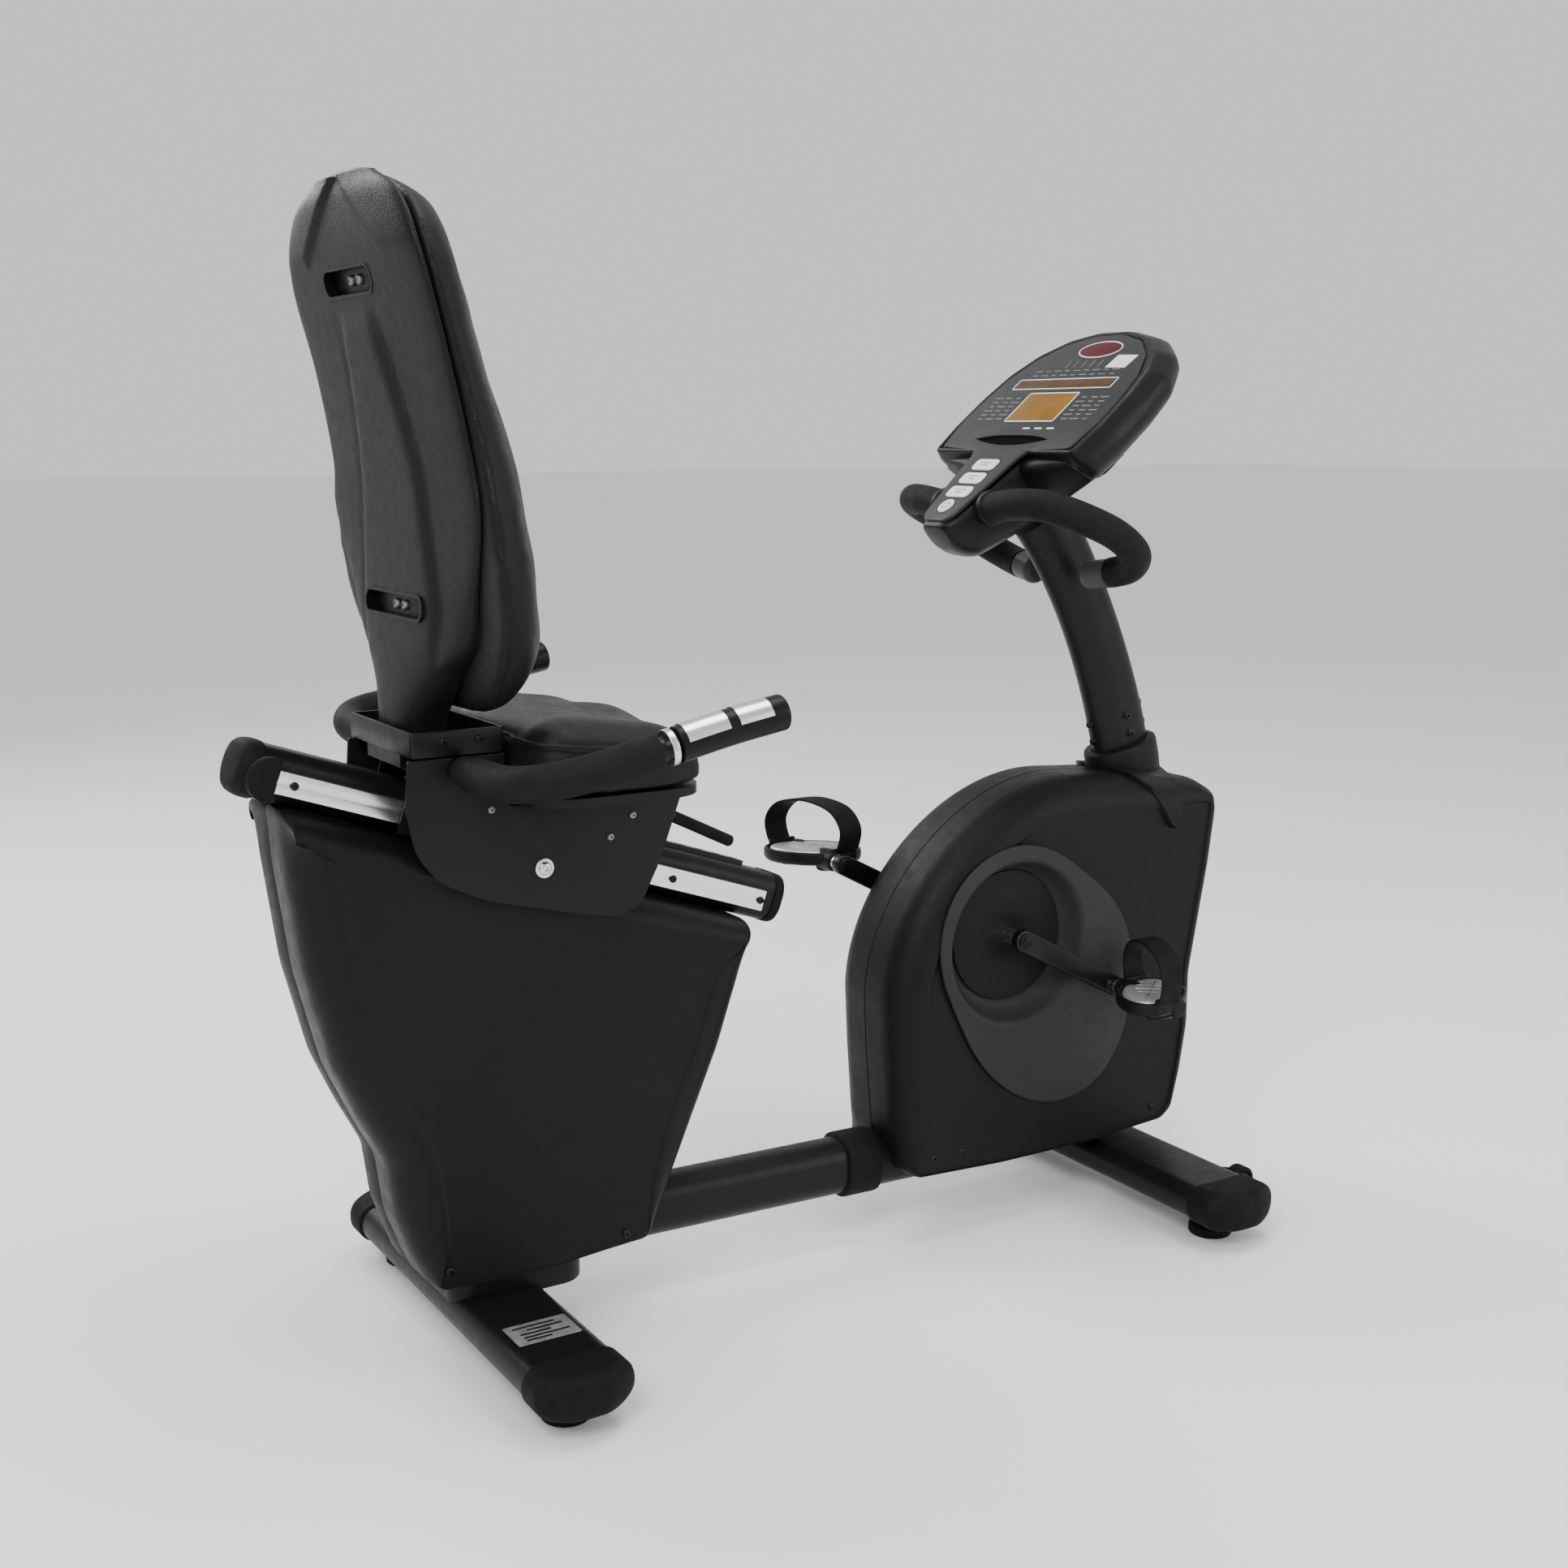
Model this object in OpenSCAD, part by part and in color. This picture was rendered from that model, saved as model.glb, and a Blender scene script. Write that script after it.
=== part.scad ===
// Recumbent exercise bike.
// +X points forward from the seat to the console, +Y to the rider's left, +Z up.
// The parts are drawn from the line of the rear stabiliser, and place() then moves
// them so that the origin lies on the floor under the middle of the bike.

/* [Base] */
// Distance between the two stabilisers
wheelbase = 930; // [900:10:960]
// Length of each stabiliser tube without its end caps
stabiliser_length = 524; // [480:4:560]
// Depth of a stabiliser tube, front to back
stabiliser_depth = 110; // [100:2:116]
// Height of a stabiliser tube
stabiliser_height = 44; // [40:1:46]
// Height of the stabiliser's middle above the floor
stabiliser_z = 52; // [50:1:54]
// Height of the oval main beam
beam_height = 72; // [66:1:74]
// Width of the oval main beam
beam_width = 62; // [50:1:64]

/* [Seat rail] */
// Slope of the seat rail, down towards the front
rail_tilt = 19; // [18:0.5:20]
// Length of the rail tube
rail_length = 650; // [620:5:680]
// Height of the rail tube
rail_height = 58; // [50:1:60]
// Width of the rail tube
rail_width = 72; // [66:1:74]
// Length of the aluminium running strips
strip_length = 618; // [560:2:630]
// Height of a running strip
strip_height = 25; // [22:1:26]

/* [Seat] */
// Width of the seat cushion
seat_width = 376; // [340:4:400]
// Width of the carriage between its cover plates' outer faces
carriage_width = 188; // [180:2:196]
// Distance from the middle to each seat handle
handle_reach = 288; // [270:2:300]

/* [Drive] */
// Crank radius, axle to pedal spindle
crank_radius = 175; // [165:1:180]
// Angle of the right crank below the horizontal, pointing forward
crank_angle = 28; // [0:1:60]
// Height of the crank axle
crank_z = 392; // [388:1:396]
// Radius of the round recess around the crank
recess_radius = 104; // [98:1:106]

/* [Console] */
// Slope of the console's face
console_tilt = 39.5; // [38:0.5:41]
// Width of the console's body
console_width = 292; // [280:2:300]

/* [Hidden] */
$fn = 48;
wall = 3;
gap = 0.4;

// Places, measured from the rear stabiliser
mid_x = 403;
rail_middle = [70.5, 0, 584];
rail_rear = -324;
crank_x = 719;
flywheel_place = [826, 0, 235];
stabiliser_top = stabiliser_z + stabiliser_height / 2;
beam_rear = [-40, 0, 113];
beam_slope = 1;
beam_length = 1000;
shroud_bottom = 96;
front_half = 78;
rear_half = 80;
axle_r = 10;
strip_y = 45;
plate_y = carriage_width / 2;
plate_t = 4;
foot_y = 234;
wheel_x = wheelbase + stabiliser_depth / 2 + 22;
wheel_z = 46;
wheel_y = 205;
wheel_pin_r = 5;

// Console frame: origin at the middle of the display, X up the slope, Z out of the face
console_middle = [804, 0, 1065];

// ---------- Helpers ----------

module place() {
    translate([-mid_x, 0, 0]) children();
}

module mirrored() {
    children();
    mirror([0, 1, 0]) children();
}

module along_y(r, h) {
    rotate([90, 0, 0]) cylinder(r = r, h = h, center = true);
}

// A bar from y = a to y = b at one place
module y_bar(at, r, a, b) {
    translate([at[0], b, at[2]]) rotate([90, 0, 0]) cylinder(r = r, h = b - a);
}

module rail_frame() {
    translate(rail_middle) rotate([0, rail_tilt, 0]) children();
}

module console_frame() {
    translate(console_middle) rotate([0, -console_tilt, 0]) children();
}

// Rectangle w by h with corners of radius r
module rounded(w, h, r) {
    square([w - 2 * r, h], center = true);
    square([w, h - 2 * r], center = true);
    for (x = [-1, 1], y = [-1, 1]) translate([x * (w / 2 - r), y * (h / 2 - r)]) circle(r);
}

module rounded_ring(w, h, r, t) {
    difference() {
        rounded(w, h, r);
        rounded(w - 2 * t, h - 2 * t, r - t);
    }
}

function unit(v) = v / norm(v);
function last(list) = list[len(list) - 1];

// Catmull-Rom curve through the points, with a number of steps between each pair
function curve_point(a, b, c, d, t) =
    0.5 * (2 * b + (c - a) * t + (2 * a - 5 * b + 4 * c - d) * t * t + (3 * b - a - 3 * c + d) * t * t * t);
function curve(p, steps) = concat(
    [for (i = [0 : len(p) - 2], k = [0 : steps - 1])
        curve_point(p[max(i - 1, 0)], p[i], p[i + 1], p[min(i + 2, len(p) - 1)], k / steps)],
    [last(p)]);
function heading(p, i) = unit(p[min(i + 1, len(p) - 1)] - p[max(i - 1, 0)]);
function ring(c, t, ref, a, b, sides) =
    let (s = unit(cross(ref, t)), u = cross(t, s))
    [for (k = [0 : sides - 1]) let (w = 360 * (k + 0.5) / sides) c + s * a * cos(w) + u * b * sin(w)];
function lengthened(p, e) = concat(
    [p[0] - heading(p, 0) * e], p, [last(p) + heading(p, len(p) - 1) * e]);

// Closed skin through rings that all have the same number of points
module loft(rings) {
    n = len(rings[0]);
    m = len(rings);
    polyhedron(
        points = [for (r = rings) each r],
        faces = concat(
            [[for (i = [0 : n - 1]) i]],
            [for (j = [0 : m - 2], i = [0 : n - 1])
                [j * n + i, (j + 1) * n + i, (j + 1) * n + (i + 1) % n, j * n + (i + 1) % n]],
            [[for (i = [n - 1 : -1 : 0]) (m - 1) * n + i]]));
}

// Bar of elliptical section, a along the side and b along the other way, swept on a path
module rod(path, ref, a, b, sides = 12) {
    loft([for (i = [0 : len(path) - 1]) ring(path[i], heading(path, i), ref, a, b, sides)]);
}

module pipe(path, ref, a, b, t, sides = 12) {
    difference() {
        rod(path, ref, a, b, sides);
        rod(lengthened(path, 1), ref, a - t, b - t, sides);
    }
}

// ---------- Paths ----------

// The mast's middle line, a cubic curve from the beam to the console
mast_ctrl = [[930, 0, 132], [1050, 0, 420], [940, 0, 760], [806, 0, 930]];
function mast_point(t) =
    mast_ctrl[0] * pow(1 - t, 3) + mast_ctrl[1] * 3 * t * pow(1 - t, 2)
    + mast_ctrl[2] * 3 * t * t * (1 - t) + mast_ctrl[3] * pow(t, 3);
function mast_path(from, to) = [for (k = [from : to]) mast_point(k / 20)];

// Right half of the front handlebar, from the neck round to its end beside the mast
bar_points = [
    [690, -24, 938], [690, -95, 947], [704, -138, 946], [738, -162, 933], [790, -168, 911],
    [832, -156, 886], [852, -126, 867], [852, -92, 858], [846, -52, 853]];

// Right half of the seat handlebar, from the carriage out and forward to the grip
handle_points = [
    [-45, -60, 686], [-45, -150, 686], [-48, -handle_reach + 62, 690], [-36, -handle_reach + 22, 695],
    [-12, -handle_reach + 4, 700], [30, -handle_reach, 707], [100, -handle_reach - 3, 723],
    [170, -handle_reach - 6, 739], [236, -handle_reach - 8, 751]];
handle_path = curve(handle_points, 4);
foam_to = 24;

// ---------- Base ----------

module beam_place() {
    translate(beam_rear) rotate([0, beam_slope, 0]) rotate([90, 0, 90]) children();
}

module beam_cut() {
    beam_place() linear_extrude(beam_length + 60) rounded(beam_width + 0.2, beam_height + 0.2, 28.1);
}

module stabiliser_solid(x, extra) {
    translate([x, 0, stabiliser_z]) rotate([90, 0, 0])
        linear_extrude(stabiliser_length + 2 * extra, center = true)
            rounded(stabiliser_depth, stabiliser_height, stabiliser_height / 2 - 1);
}

module main_beam() {
    color("#1c1d1d") place() difference() {
        beam_place() linear_extrude(beam_length) rounded_ring(beam_width, beam_height, 28, wall);
        stabiliser_solid(wheelbase, 0);
    }
}

module stabiliser_tube(x) {
    difference() {
        translate([x, 0, stabiliser_z]) rotate([90, 0, 0])
            linear_extrude(stabiliser_length, center = true)
                rounded_ring(stabiliser_depth, stabiliser_height, stabiliser_height / 2 - 1, wall);
        mirrored() translate([x, foot_y, 0]) cylinder(r = 5.56, h = 52);
    }
}

module rear_stabiliser() {
    color("#1c1d1d") place() {
        stabiliser_tube(0);
        difference() {
            translate([28, 0, stabiliser_top - 3]) linear_extrude(shroud_bottom - stabiliser_top + 2)
                rounded(164, 128, 30);
            stabiliser_solid(0, 0);
            beam_cut();
        }
    }
}

module front_stabiliser() {
    color("#1c1d1d") place() {
        stabiliser_tube(wheelbase);
        mirrored() {
            for (y = [wheel_y - 15, wheel_y + 11]) translate([0, y + 4, 0]) rotate([90, 0, 0]) linear_extrude(4)
                polygon([[wheelbase + 50, 36], [wheel_x + 4, 36], [wheel_x + 11, wheel_z],
                         [wheel_x + 4, 57], [wheelbase + 50, 66]]);
            y_bar([wheel_x, 0, wheel_z], wheel_pin_r, wheel_y - 15, wheel_y + 15);
        }
    }
}

module end_cap() {
    half = stabiliser_length / 2;
    difference() {
        intersection() {
            translate([0, -half + 14, stabiliser_z]) rotate([90, 0, 0]) linear_extrude(60)
                rounded(stabiliser_depth + 6, stabiliser_height + 6, stabiliser_height / 2 + 1);
            translate([0, -half + 30, 0]) cylinder(r = 78, h = 100, $fn = 96);
        }
        stabiliser_solid(0, gap);
    }
}

module stabiliser_caps() {
    color("#151616") place() for (x = [0, wheelbase]) translate([x, 0, 0]) mirrored() end_cap();
}

module foot(x, side) {
    color("#101010") place() translate([x, side * foot_y, 0]) {
        cylinder(r = 28, h = 13);
        translate([0, 0, 13]) cylinder(r1 = 28, r2 = 18, h = 6);
        translate([0, 0, 19]) cylinder(r = 5.5, h = 31);
    }
}

module foot_rear_left() { foot(0, 1); }
module foot_rear_right() { foot(0, -1); }
module foot_front_left() { foot(wheelbase, 1); }
module foot_front_right() { foot(wheelbase, -1); }

module transport_wheel(side) {
    color("#161616") place() translate([wheel_x, side * wheel_y, wheel_z]) difference() {
        along_y(20, 18);
        along_y(wheel_pin_r + 0.06, 20);
        for (s = [-1, 1]) translate([0, s * 9, 0]) rotate([90, 0, 0]) difference() {
            cylinder(r = 15, h = 6, center = true);
            cylinder(r = 8, h = 7, center = true);
        }
    }
}

module wheel_left() { transport_wheel(1); }
module wheel_right() { transport_wheel(-1); }

// ---------- Posts and rail ----------

module rear_post() {
    color("#1c1d1d") place() difference() {
        for (x = [0, 170]) translate([x, 0, 0]) linear_extrude(700) rounded_ring(60, 50, 8, wall);
        rail_frame() translate([-400, -100, -rail_height / 2]) cube([800, 200, 400]);
        beam_cut();
        translate([-50, -50, 0]) cube([300, 100, 113]);
    }
}

module mast_post() {
    path = mast_path(0, 12);
    color("#1c1d1d") place() difference() {
        rod(path, [0, 1, 0], 38, 20);
        rod(lengthened(path, 1), [0, 1, 0], 35, 17);
        beam_cut();
    }
}

module seat_rail() {
    color("#1c1d1d") place() rail_frame() translate([rail_rear, 0, 0]) rotate([90, 0, 90])
        linear_extrude(rail_length) rounded_ring(rail_width, rail_height, 20, wall);
}

module rail_strips() {
    color("#c9ccca") place() rail_frame() mirrored() difference() {
        translate([-strip_length / 2, rail_width / 2, -4 - strip_height / 2])
            cube([strip_length, strip_y - rail_width / 2, strip_height]);
        translate([-strip_length / 2 - 1, strip_y - 1.2, -6]) cube([strip_length + 2, 3, 4]);
    }
}

module rail_end_caps() {
    color("#161717") place() rail_frame() {
        translate([rail_rear - 24, 0, 0]) rotate([90, 0, 90]) linear_extrude(24)
            rounded(rail_width + 4, rail_height + 4, 30);
        translate([rail_rear + rail_length, 0, 0]) rotate([90, 0, 90]) linear_extrude(14)
            rounded(rail_width + 4, rail_height + 2, 22);
        mirrored() difference() {
            y_bar([-strip_length / 2 - 8, 0, -4], 24, rail_width / 2, rail_width / 2 + 12);
            translate([-strip_length / 2 - 0.2, 0, -40]) cube(80);
        }
    }
}

module lock_rack() {
    color("#1a1b1b") place() rail_frame() difference() {
        translate([-150, -12, rail_height / 2]) cube([435, 24, 6]);
        for (x = [-125 : 25 : 275]) translate([x, 0, rail_height / 2 - 1]) cylinder(r = 6.6, h = 8);
    }
}

// ---------- Shrouds ----------

// Outline points are [x, z, k]: k is how far the edge rounding applies there, 0 to 1
function outline_normal(o, i) =
    let (n = len(o), a = o[(i + n - 1) % n], b = o[(i + 1) % n], d = unit([b[0] - a[0], b[1] - a[1]]))
    [d[1], -d[0]];
function inset_ring(o, y, d, grow) =
    [for (i = [0 : len(o) - 1]) let (n = outline_normal(o, i), e = d * o[i][2] - grow)
        [o[i][0] - n[0] * e, y, o[i][1] - n[1] * e]];

// Half of a body with rounded edges, from the middle plane out to y = half
function edge_ring(o, half, edge, grow, a) =
    inset_ring(o, half - edge + (edge + grow) * sin(a), (edge + grow) * (1 - cos(a)), grow);

module pillow_half(outline, half, edge, grow) {
    loft(concat([for (a = [90 : -22.5 : 0]) edge_ring(outline, half, edge, grow, a)],
        [inset_ring(outline, -1, 0, grow)]));
}

// Open cup: down the outside to the middle plane, then back up the inside
module shell_half(outline, half, edge) {
    loft(concat(
        [for (a = [90 : -22.5 : 0]) edge_ring(outline, half, edge, 0, a)],
        [inset_ring(outline, 0.15, 0, 0), inset_ring(outline, 0.15, 0, -wall)],
        [for (a = [0 : 22.5 : 90]) edge_ring(outline, half, edge, -wall, a)]));
}

rear_top_slope = tan(rail_tilt);
function under_rail(x) = rail_middle[2] - (x - rail_middle[0]) * rear_top_slope - rail_height / 2 / cos(rail_tilt) - 1;
rear_outline = [
    [-80, shroud_bottom, 0.1], [60, shroud_bottom, 0], [186, shroud_bottom, 0.3],
    [224, 160, 0.8], [254, 225, 1], [293, 314, 1], [321, 395, 1], [337, under_rail(337), 0.6],
    [200, under_rail(200), 0.7], [60, under_rail(60), 0.7], [-80, under_rail(-80), 0.7],
    [-224, under_rail(-224), 0.6], [-220, 590, 1], [-204, 468, 1], [-177, 361, 1], [-150, 300, 1],
    [-121, 244, 1], [-113, 180, 1], [-96, 130, 0.7]];

front_outline = concat(
    [[566, 92, 0.1], [700, 90, 0], [860, 90, 0], [984, 89, 0.2], [1012, 104, 0.5], [1028, 160, 1],
     [1040, 225, 1], [1040, 300, 1], [1053, 370, 1], [1068, 450, 1], [1076, 510, 0.6], [1066, 536, 0.6],
     [1036, 557, 0.7], [960, 577, 0.9]],
    [for (a = [78 : 12 : 174]) let (b = 9 * pow(sin(1.7 * (a - 78)), 2))
        [815 + (278 - b) * cos(a), 318 + (274 - b) * sin(a), 1]],
    [[541, 250, 1], [550, 150, 0.8]]);

module rear_shroud(side) {
    color("#141515") place() scale_side(side) difference() {
        shell_half(rear_outline, rear_half, 44);
        beam_place() linear_extrude(beam_length) rounded(beam_width + 2, beam_height + 2, 29);
        for (x = [0, 170]) translate([x - 31, -26, 90]) cube([62, 52, 600]);
    }
}

module scale_side(side) {
    if (side > 0) children();
    else mirror([0, 1, 0]) children();
}

module rear_shroud_left() { rear_shroud(1); }
module rear_shroud_right() { rear_shroud(-1); }

module front_shroud(side) {
    color("#181919") place() scale_side(side) difference() {
        shell_half(front_outline, front_half, 46);
        translate([crank_x + 3, 60, crank_z - 6]) along_y(recess_radius + 5, 60);
        beam_place() linear_extrude(beam_length + 60) rounded(beam_width + 2, beam_height + 2, 29);
        rod(mast_path(7, 16), [0, 1, 0], 45, 27, 24);
    }
}

module front_shroud_left() { front_shroud(1); }
module front_shroud_right() { front_shroud(-1); }

// Egg-shaped side trim around the crank recess
module trim_outline() {
    hull() {
        translate([crank_x + 4, crank_z - 2]) circle(r = 124, $fn = 64);
        translate([crank_x + 76, crank_z - 56]) circle(r = 122, $fn = 64);
        translate([crank_x + 84, crank_z - 134]) circle(r = 106, $fn = 64);
        translate([crank_x + 44, crank_z - 96]) circle(r = 116, $fn = 64);
    }
}

module shroud_trim() {
    difference() {
        union() {
            translate([0, front_half + 4, 0]) rotate([90, 0, 0]) linear_extrude(4) trim_outline();
            translate([crank_x + 3, front_half - 13, crank_z - 6]) along_y(recess_radius + 3, 26);
        }
        translate([crank_x + 3, front_half - 9, crank_z - 6]) along_y(recess_radius, 30);
        translate([crank_x, front_half - 24, crank_z]) along_y(72, 10);
    }
}

module shroud_trims() {
    color("#2a2c2b") place() mirrored() shroud_trim();
}

module beam_collar() {
    color("#191a1a") place() difference() {
        beam_place() translate([0, 0, 538]) linear_extrude(45) rounded(beam_width + 12, beam_height + 10, 32);
        beam_place() linear_extrude(beam_length) rounded(beam_width + 0.4, beam_height + 0.4, 28.2);
    }
}

module mast_collar() {
    color("#1b1c1c") place() difference() {
        union() {
            rod(mast_path(10, 11), [0, 1, 0], 55, 42, 24);
            hull() {
                rod(mast_path(9, 10), [0, 1, 0], 52, 40, 24);
                translate([1034, 0, 500]) along_y(6, 84);
            }
        }
        rod(mast_path(7, 12), [0, 1, 0], 44.5, 26.5, 24);
        for (s = [-1, 1]) scale_side(s) pillow_half(front_outline, front_half, 46, 0.3);
    }
}

module mast() {
    path = mast_path(10, 20);
    color("#1e1f1f") place() difference() {
        rod(path, [0, 1, 0], 44, 26, 24);
        rod(lengthened(path, 2), [0, 1, 0], 40, 22, 24);
    }
}

// ---------- Front handlebar and console ----------

module front_handlebar() {
    color("#1d1e1e") place() rod(front_bar_path(), [0, 0, 1], 19.5, 19.5);
}

// Console outline in its own frame, [up the slope, across]
console_outline = [
    [-84, -0.46], [-40, -0.5], [20, -0.5], [70, -0.47], [112, -0.39], [142, -0.26], [156, -0.1],
    [156, 0.1], [142, 0.26], [112, 0.39], [70, 0.47], [20, 0.5], [-40, 0.5], [-84, 0.46]];

module console_shape(grow) {
    polygon([for (p = console_outline) [p[0] + grow * sign(p[0]), p[1] * (console_width + 2 * grow)]]);
}

module neck_shape(grow) {
    polygon([[-84, -50 - grow], [-84, 50 + grow], [-214 - grow, 33 + grow], [-224 - grow, 22],
             [-224 - grow, -22], [-214 - grow, -33 - grow]]);
}

module key_cutouts(grow) {
    for (s = key_places) translate([s, 0]) rounded(19 + 2 * grow, 42 + 2 * grow, 6);
    translate([round_key_place, 0]) circle(12 + grow);
}

key_places = [-113, -139, -165];
round_key_place = -192;

module console_back() {
    color("#161717") place() difference() {
        console_frame() {
            translate([12, 0, -62]) linear_extrude(20) console_shape(-12);
            translate([14, 0, -42]) linear_extrude(26) console_shape(4);
            translate([4, 0, -16]) linear_extrude(13) console_shape(-2);
            hull() {
                translate([0, 0, -6]) linear_extrude(3) neck_shape(0);
                translate([-84, 0, -96]) rotate([0, -20, 0]) cube([60, 74, 4], center = true);
                translate([-190, 0, -39]) along_y(33, 54);
            }
        }
        console_frame() {
            translate([0, 0, -54]) linear_extrude(66) console_shape(-20);
            translate([0, 0, -16]) linear_extrude(20) intersection() {
                neck_shape(-5);
                translate([-150, 0]) square([124, 120], center = true);
            }
        }
        rod(mast_path(16, 21), [0, 1, 0], 44.4, 26.4, 24);
        rod(front_bar_path(), [0, 0, 1], 19.8, 19.8);
    }
}

function front_bar_path() =
    let (path = curve(bar_points, 3))
    concat([for (i = [len(path) - 1 : -1 : 0]) [path[i][0], -path[i][1], path[i][2]]], path);

module console_face() {
    color("#2b2d2e") place() console_frame() difference() {
        translate([0, 0, -3 + 0.02]) linear_extrude(3) {
            console_shape(-9);
            neck_shape(-3);
        }
        translate([0, 0, -4]) linear_extrude(6) key_cutouts(gap);
        translate([1, 0, -1.5]) linear_extrude(3) square([54.4, 96.4], center = true);
        translate([48, 0, -1.5]) linear_extrude(3) square([18.4, 194.4], center = true);
        translate([-64, 0, -4]) linear_extrude(6) rounded(18, 150, 8.9);
    }
}

module displays() {
    color("#c98a2e") place() console_frame() {
        translate([1, 0, -0.6]) cube([54, 96, 1.6], center = true);
        translate([48, 0, -0.6]) cube([18, 194, 1.6], center = true);
    }
}

module console_board() {
    color("#2f6b45") place() console_frame() translate([16, 0, -22]) cube([120, 180, 1.6], center = true);
}

module console_key(i) {
    color("#e4e5e2") place() console_frame() translate([0, 0, -4]) linear_extrude(6) {
        if (i < 3) translate([key_places[i], 0]) rounded(19, 42, 6);
        else translate([round_key_place, 0]) circle(12);
    }
}

module key_1() { console_key(0); }
module key_2() { console_key(1); }
module key_3() { console_key(2); }
module key_4() { console_key(3); }

// ---------- Drive ----------

pulley_r = 110;
small_pulley_r = 22;
idler_r = 18;
belt_t = 3;
belt_y = 30;
belt_w = 14;
crank_at = [crank_x, 0, crank_z];
idler_dir = let (d = unit(flywheel_place - crank_at), c = (pulley_r - small_pulley_r) / norm(flywheel_place - crank_at))
    d * c + [d[2], 0, -d[0]] * sqrt(1 - c * c);
idler_place = (crank_at + flywheel_place) / 2
    + idler_dir * ((pulley_r + small_pulley_r) / 2 + belt_t + idler_r + 0.5);
arm_y = 94;
pedal_y = 168;
right_pedal = [crank_x + crank_radius * cos(crank_angle), -pedal_y, crank_z - crank_radius * sin(crank_angle)];
left_pedal = [crank_x - crank_radius * cos(crank_angle), pedal_y, crank_z + crank_radius * sin(crank_angle)];

module drive_bracket() {
    color("#2a2b2b") place() difference() {
        union() {
            translate([0, 10, 0]) rotate([90, 0, 0]) linear_extrude(8) polygon([
                [650, 120], [880, 120], [872, 270], [850, 300], [762, 420], [676, 420], [650, 320]]);
            y_bar(crank_at, 30, -56, 16);
            y_bar(idler_place, 5, 2, 44);
            y_bar(flywheel_place, 18, -2, 18);
        }
        y_bar(crank_at, 24, -60, 20);
        y_bar(flywheel_place, 9.06, -40, 60);
        beam_cut();
    }
}

module crank_bearings() {
    color("#b9bcbd") place() difference() {
        union() {
            y_bar(crank_at, 24, -56, -42);
            y_bar(crank_at, 24, 2, 16);
        }
        y_bar(crank_at, axle_r + 0.05, -60, 20);
    }
}

module crank_axle() {
    color("#9a9d9e") place() y_bar(crank_at, axle_r, -arm_y - 4, arm_y + 4);
}

module drive_pulley() {
    color("#202121") place() difference() {
        y_bar(crank_at, pulley_r, belt_y - 9, belt_y + 9);
        y_bar(crank_at, axle_r, 0, 60);
        for (a = [0 : 60 : 300])
            y_bar(crank_at + 65 * [cos(a), 0, sin(a)], 22, 0, 60);
    }
}

module flywheel() {
    color("#8d9091") place() {
        difference() {
            y_bar(flywheel_place, 86, -34, -8);
            for (s = [-34, -8]) difference() {
                y_bar(flywheel_place, 72, s - 6, s + 6);
                y_bar(flywheel_place, 24, s - 7, s + 7);
            }
        }
        y_bar(flywheel_place, 9, -40, belt_y + 12);
        y_bar(flywheel_place, small_pulley_r, belt_y - 9, belt_y + 9);
    }
}

module idler() {
    color("#3a3c3c") place() difference() {
        y_bar(idler_place, idler_r, belt_y - 8, belt_y + 8);
        y_bar(idler_place, 5.06, 0, 60);
    }
}

module belt_loop(extra) {
    hull() {
        translate([crank_x, crank_z]) circle(pulley_r + extra);
        translate([flywheel_place[0], flywheel_place[2]]) circle(small_pulley_r + extra);
    }
}

module drive_belt() {
    color("#0f0f0f") place() translate([0, belt_y + belt_w / 2, 0]) rotate([90, 0, 0])
        linear_extrude(belt_w) difference() {
            belt_loop(belt_t);
            belt_loop(0.5);
        }
}

module crank_arm() {
    foot_at = [crank_radius, 0];
    translate([0, -arm_y + 7, 0]) rotate([90, 0, 0]) linear_extrude(14) difference() {
        union() {
            circle(17);
            translate(foot_at) circle(13);
            polygon([[0, -15], [crank_radius, -11], [crank_radius, 11], [0, 15]]);
        }
        circle(axle_r + 0.03);
        translate(foot_at) circle(7);
    }
    translate([crank_radius, 0, 0]) y_bar([0, 0, 0], 7, -arm_y - 7, -arm_y + 7);
    translate([crank_radius, 0, 0]) y_bar([0, 0, 0], 6, -pedal_y - 44, -arm_y - 7);
}

module crank_arms() {
    color("#1d1e1e") place() translate(crank_at) for (turn = [0, 180])
        rotate([0, crank_angle + turn, 0]) scale_side(turn == 0 ? 1 : -1) crank_arm();
}

module crank_discs() {
    color("#121313") place() mirrored() difference() {
        y_bar(crank_at, recess_radius - 9, front_half - 22, front_half - 18);
        y_bar(crank_at, axle_r + 0.03, 0, 90);
    }
}

strap_points = [
    [44, 9], [58, 20], [60, 44], [40, 68], [0, 76], [-40, 68], [-60, 44], [-58, 20], [-44, 9]];

// The pad's long side is turned inward towards the toe, so left and right pedals are mirror images
module pedal(at, side) {
    place() translate(at) scale_side(side) {
        color("#222323") difference() {
            linear_extrude(26, center = true) rotate(-40)
                polygon([for (a = [0 : 15 : 345]) [66 * cos(a), 45 * sin(a)]]);
            for (x = [-26, 26]) translate([x, 0, 0]) cube([22, 60, 40], center = true);
            along_y(6.06, 140);
        }
        color("#1b1c1c") rod(curve([for (p = strap_points) [-0.35 * p[0], p[0], p[1]]], 3), [1, 0, 0], 1.8, 17, 4);
    }
}

module pedal_left() { pedal(left_pedal, 1); }
module pedal_right() { pedal(right_pedal, -1); }

// ---------- Seat carriage ----------

lever_pivot = [118, 0, 628];
pin_along = 75;
roller_z = -4 + strip_height / 2 + 12.3;
roller_along = [-130, 70];
spacer_places = [[52, 567], [-8, 638], [133, 593]];

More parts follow.
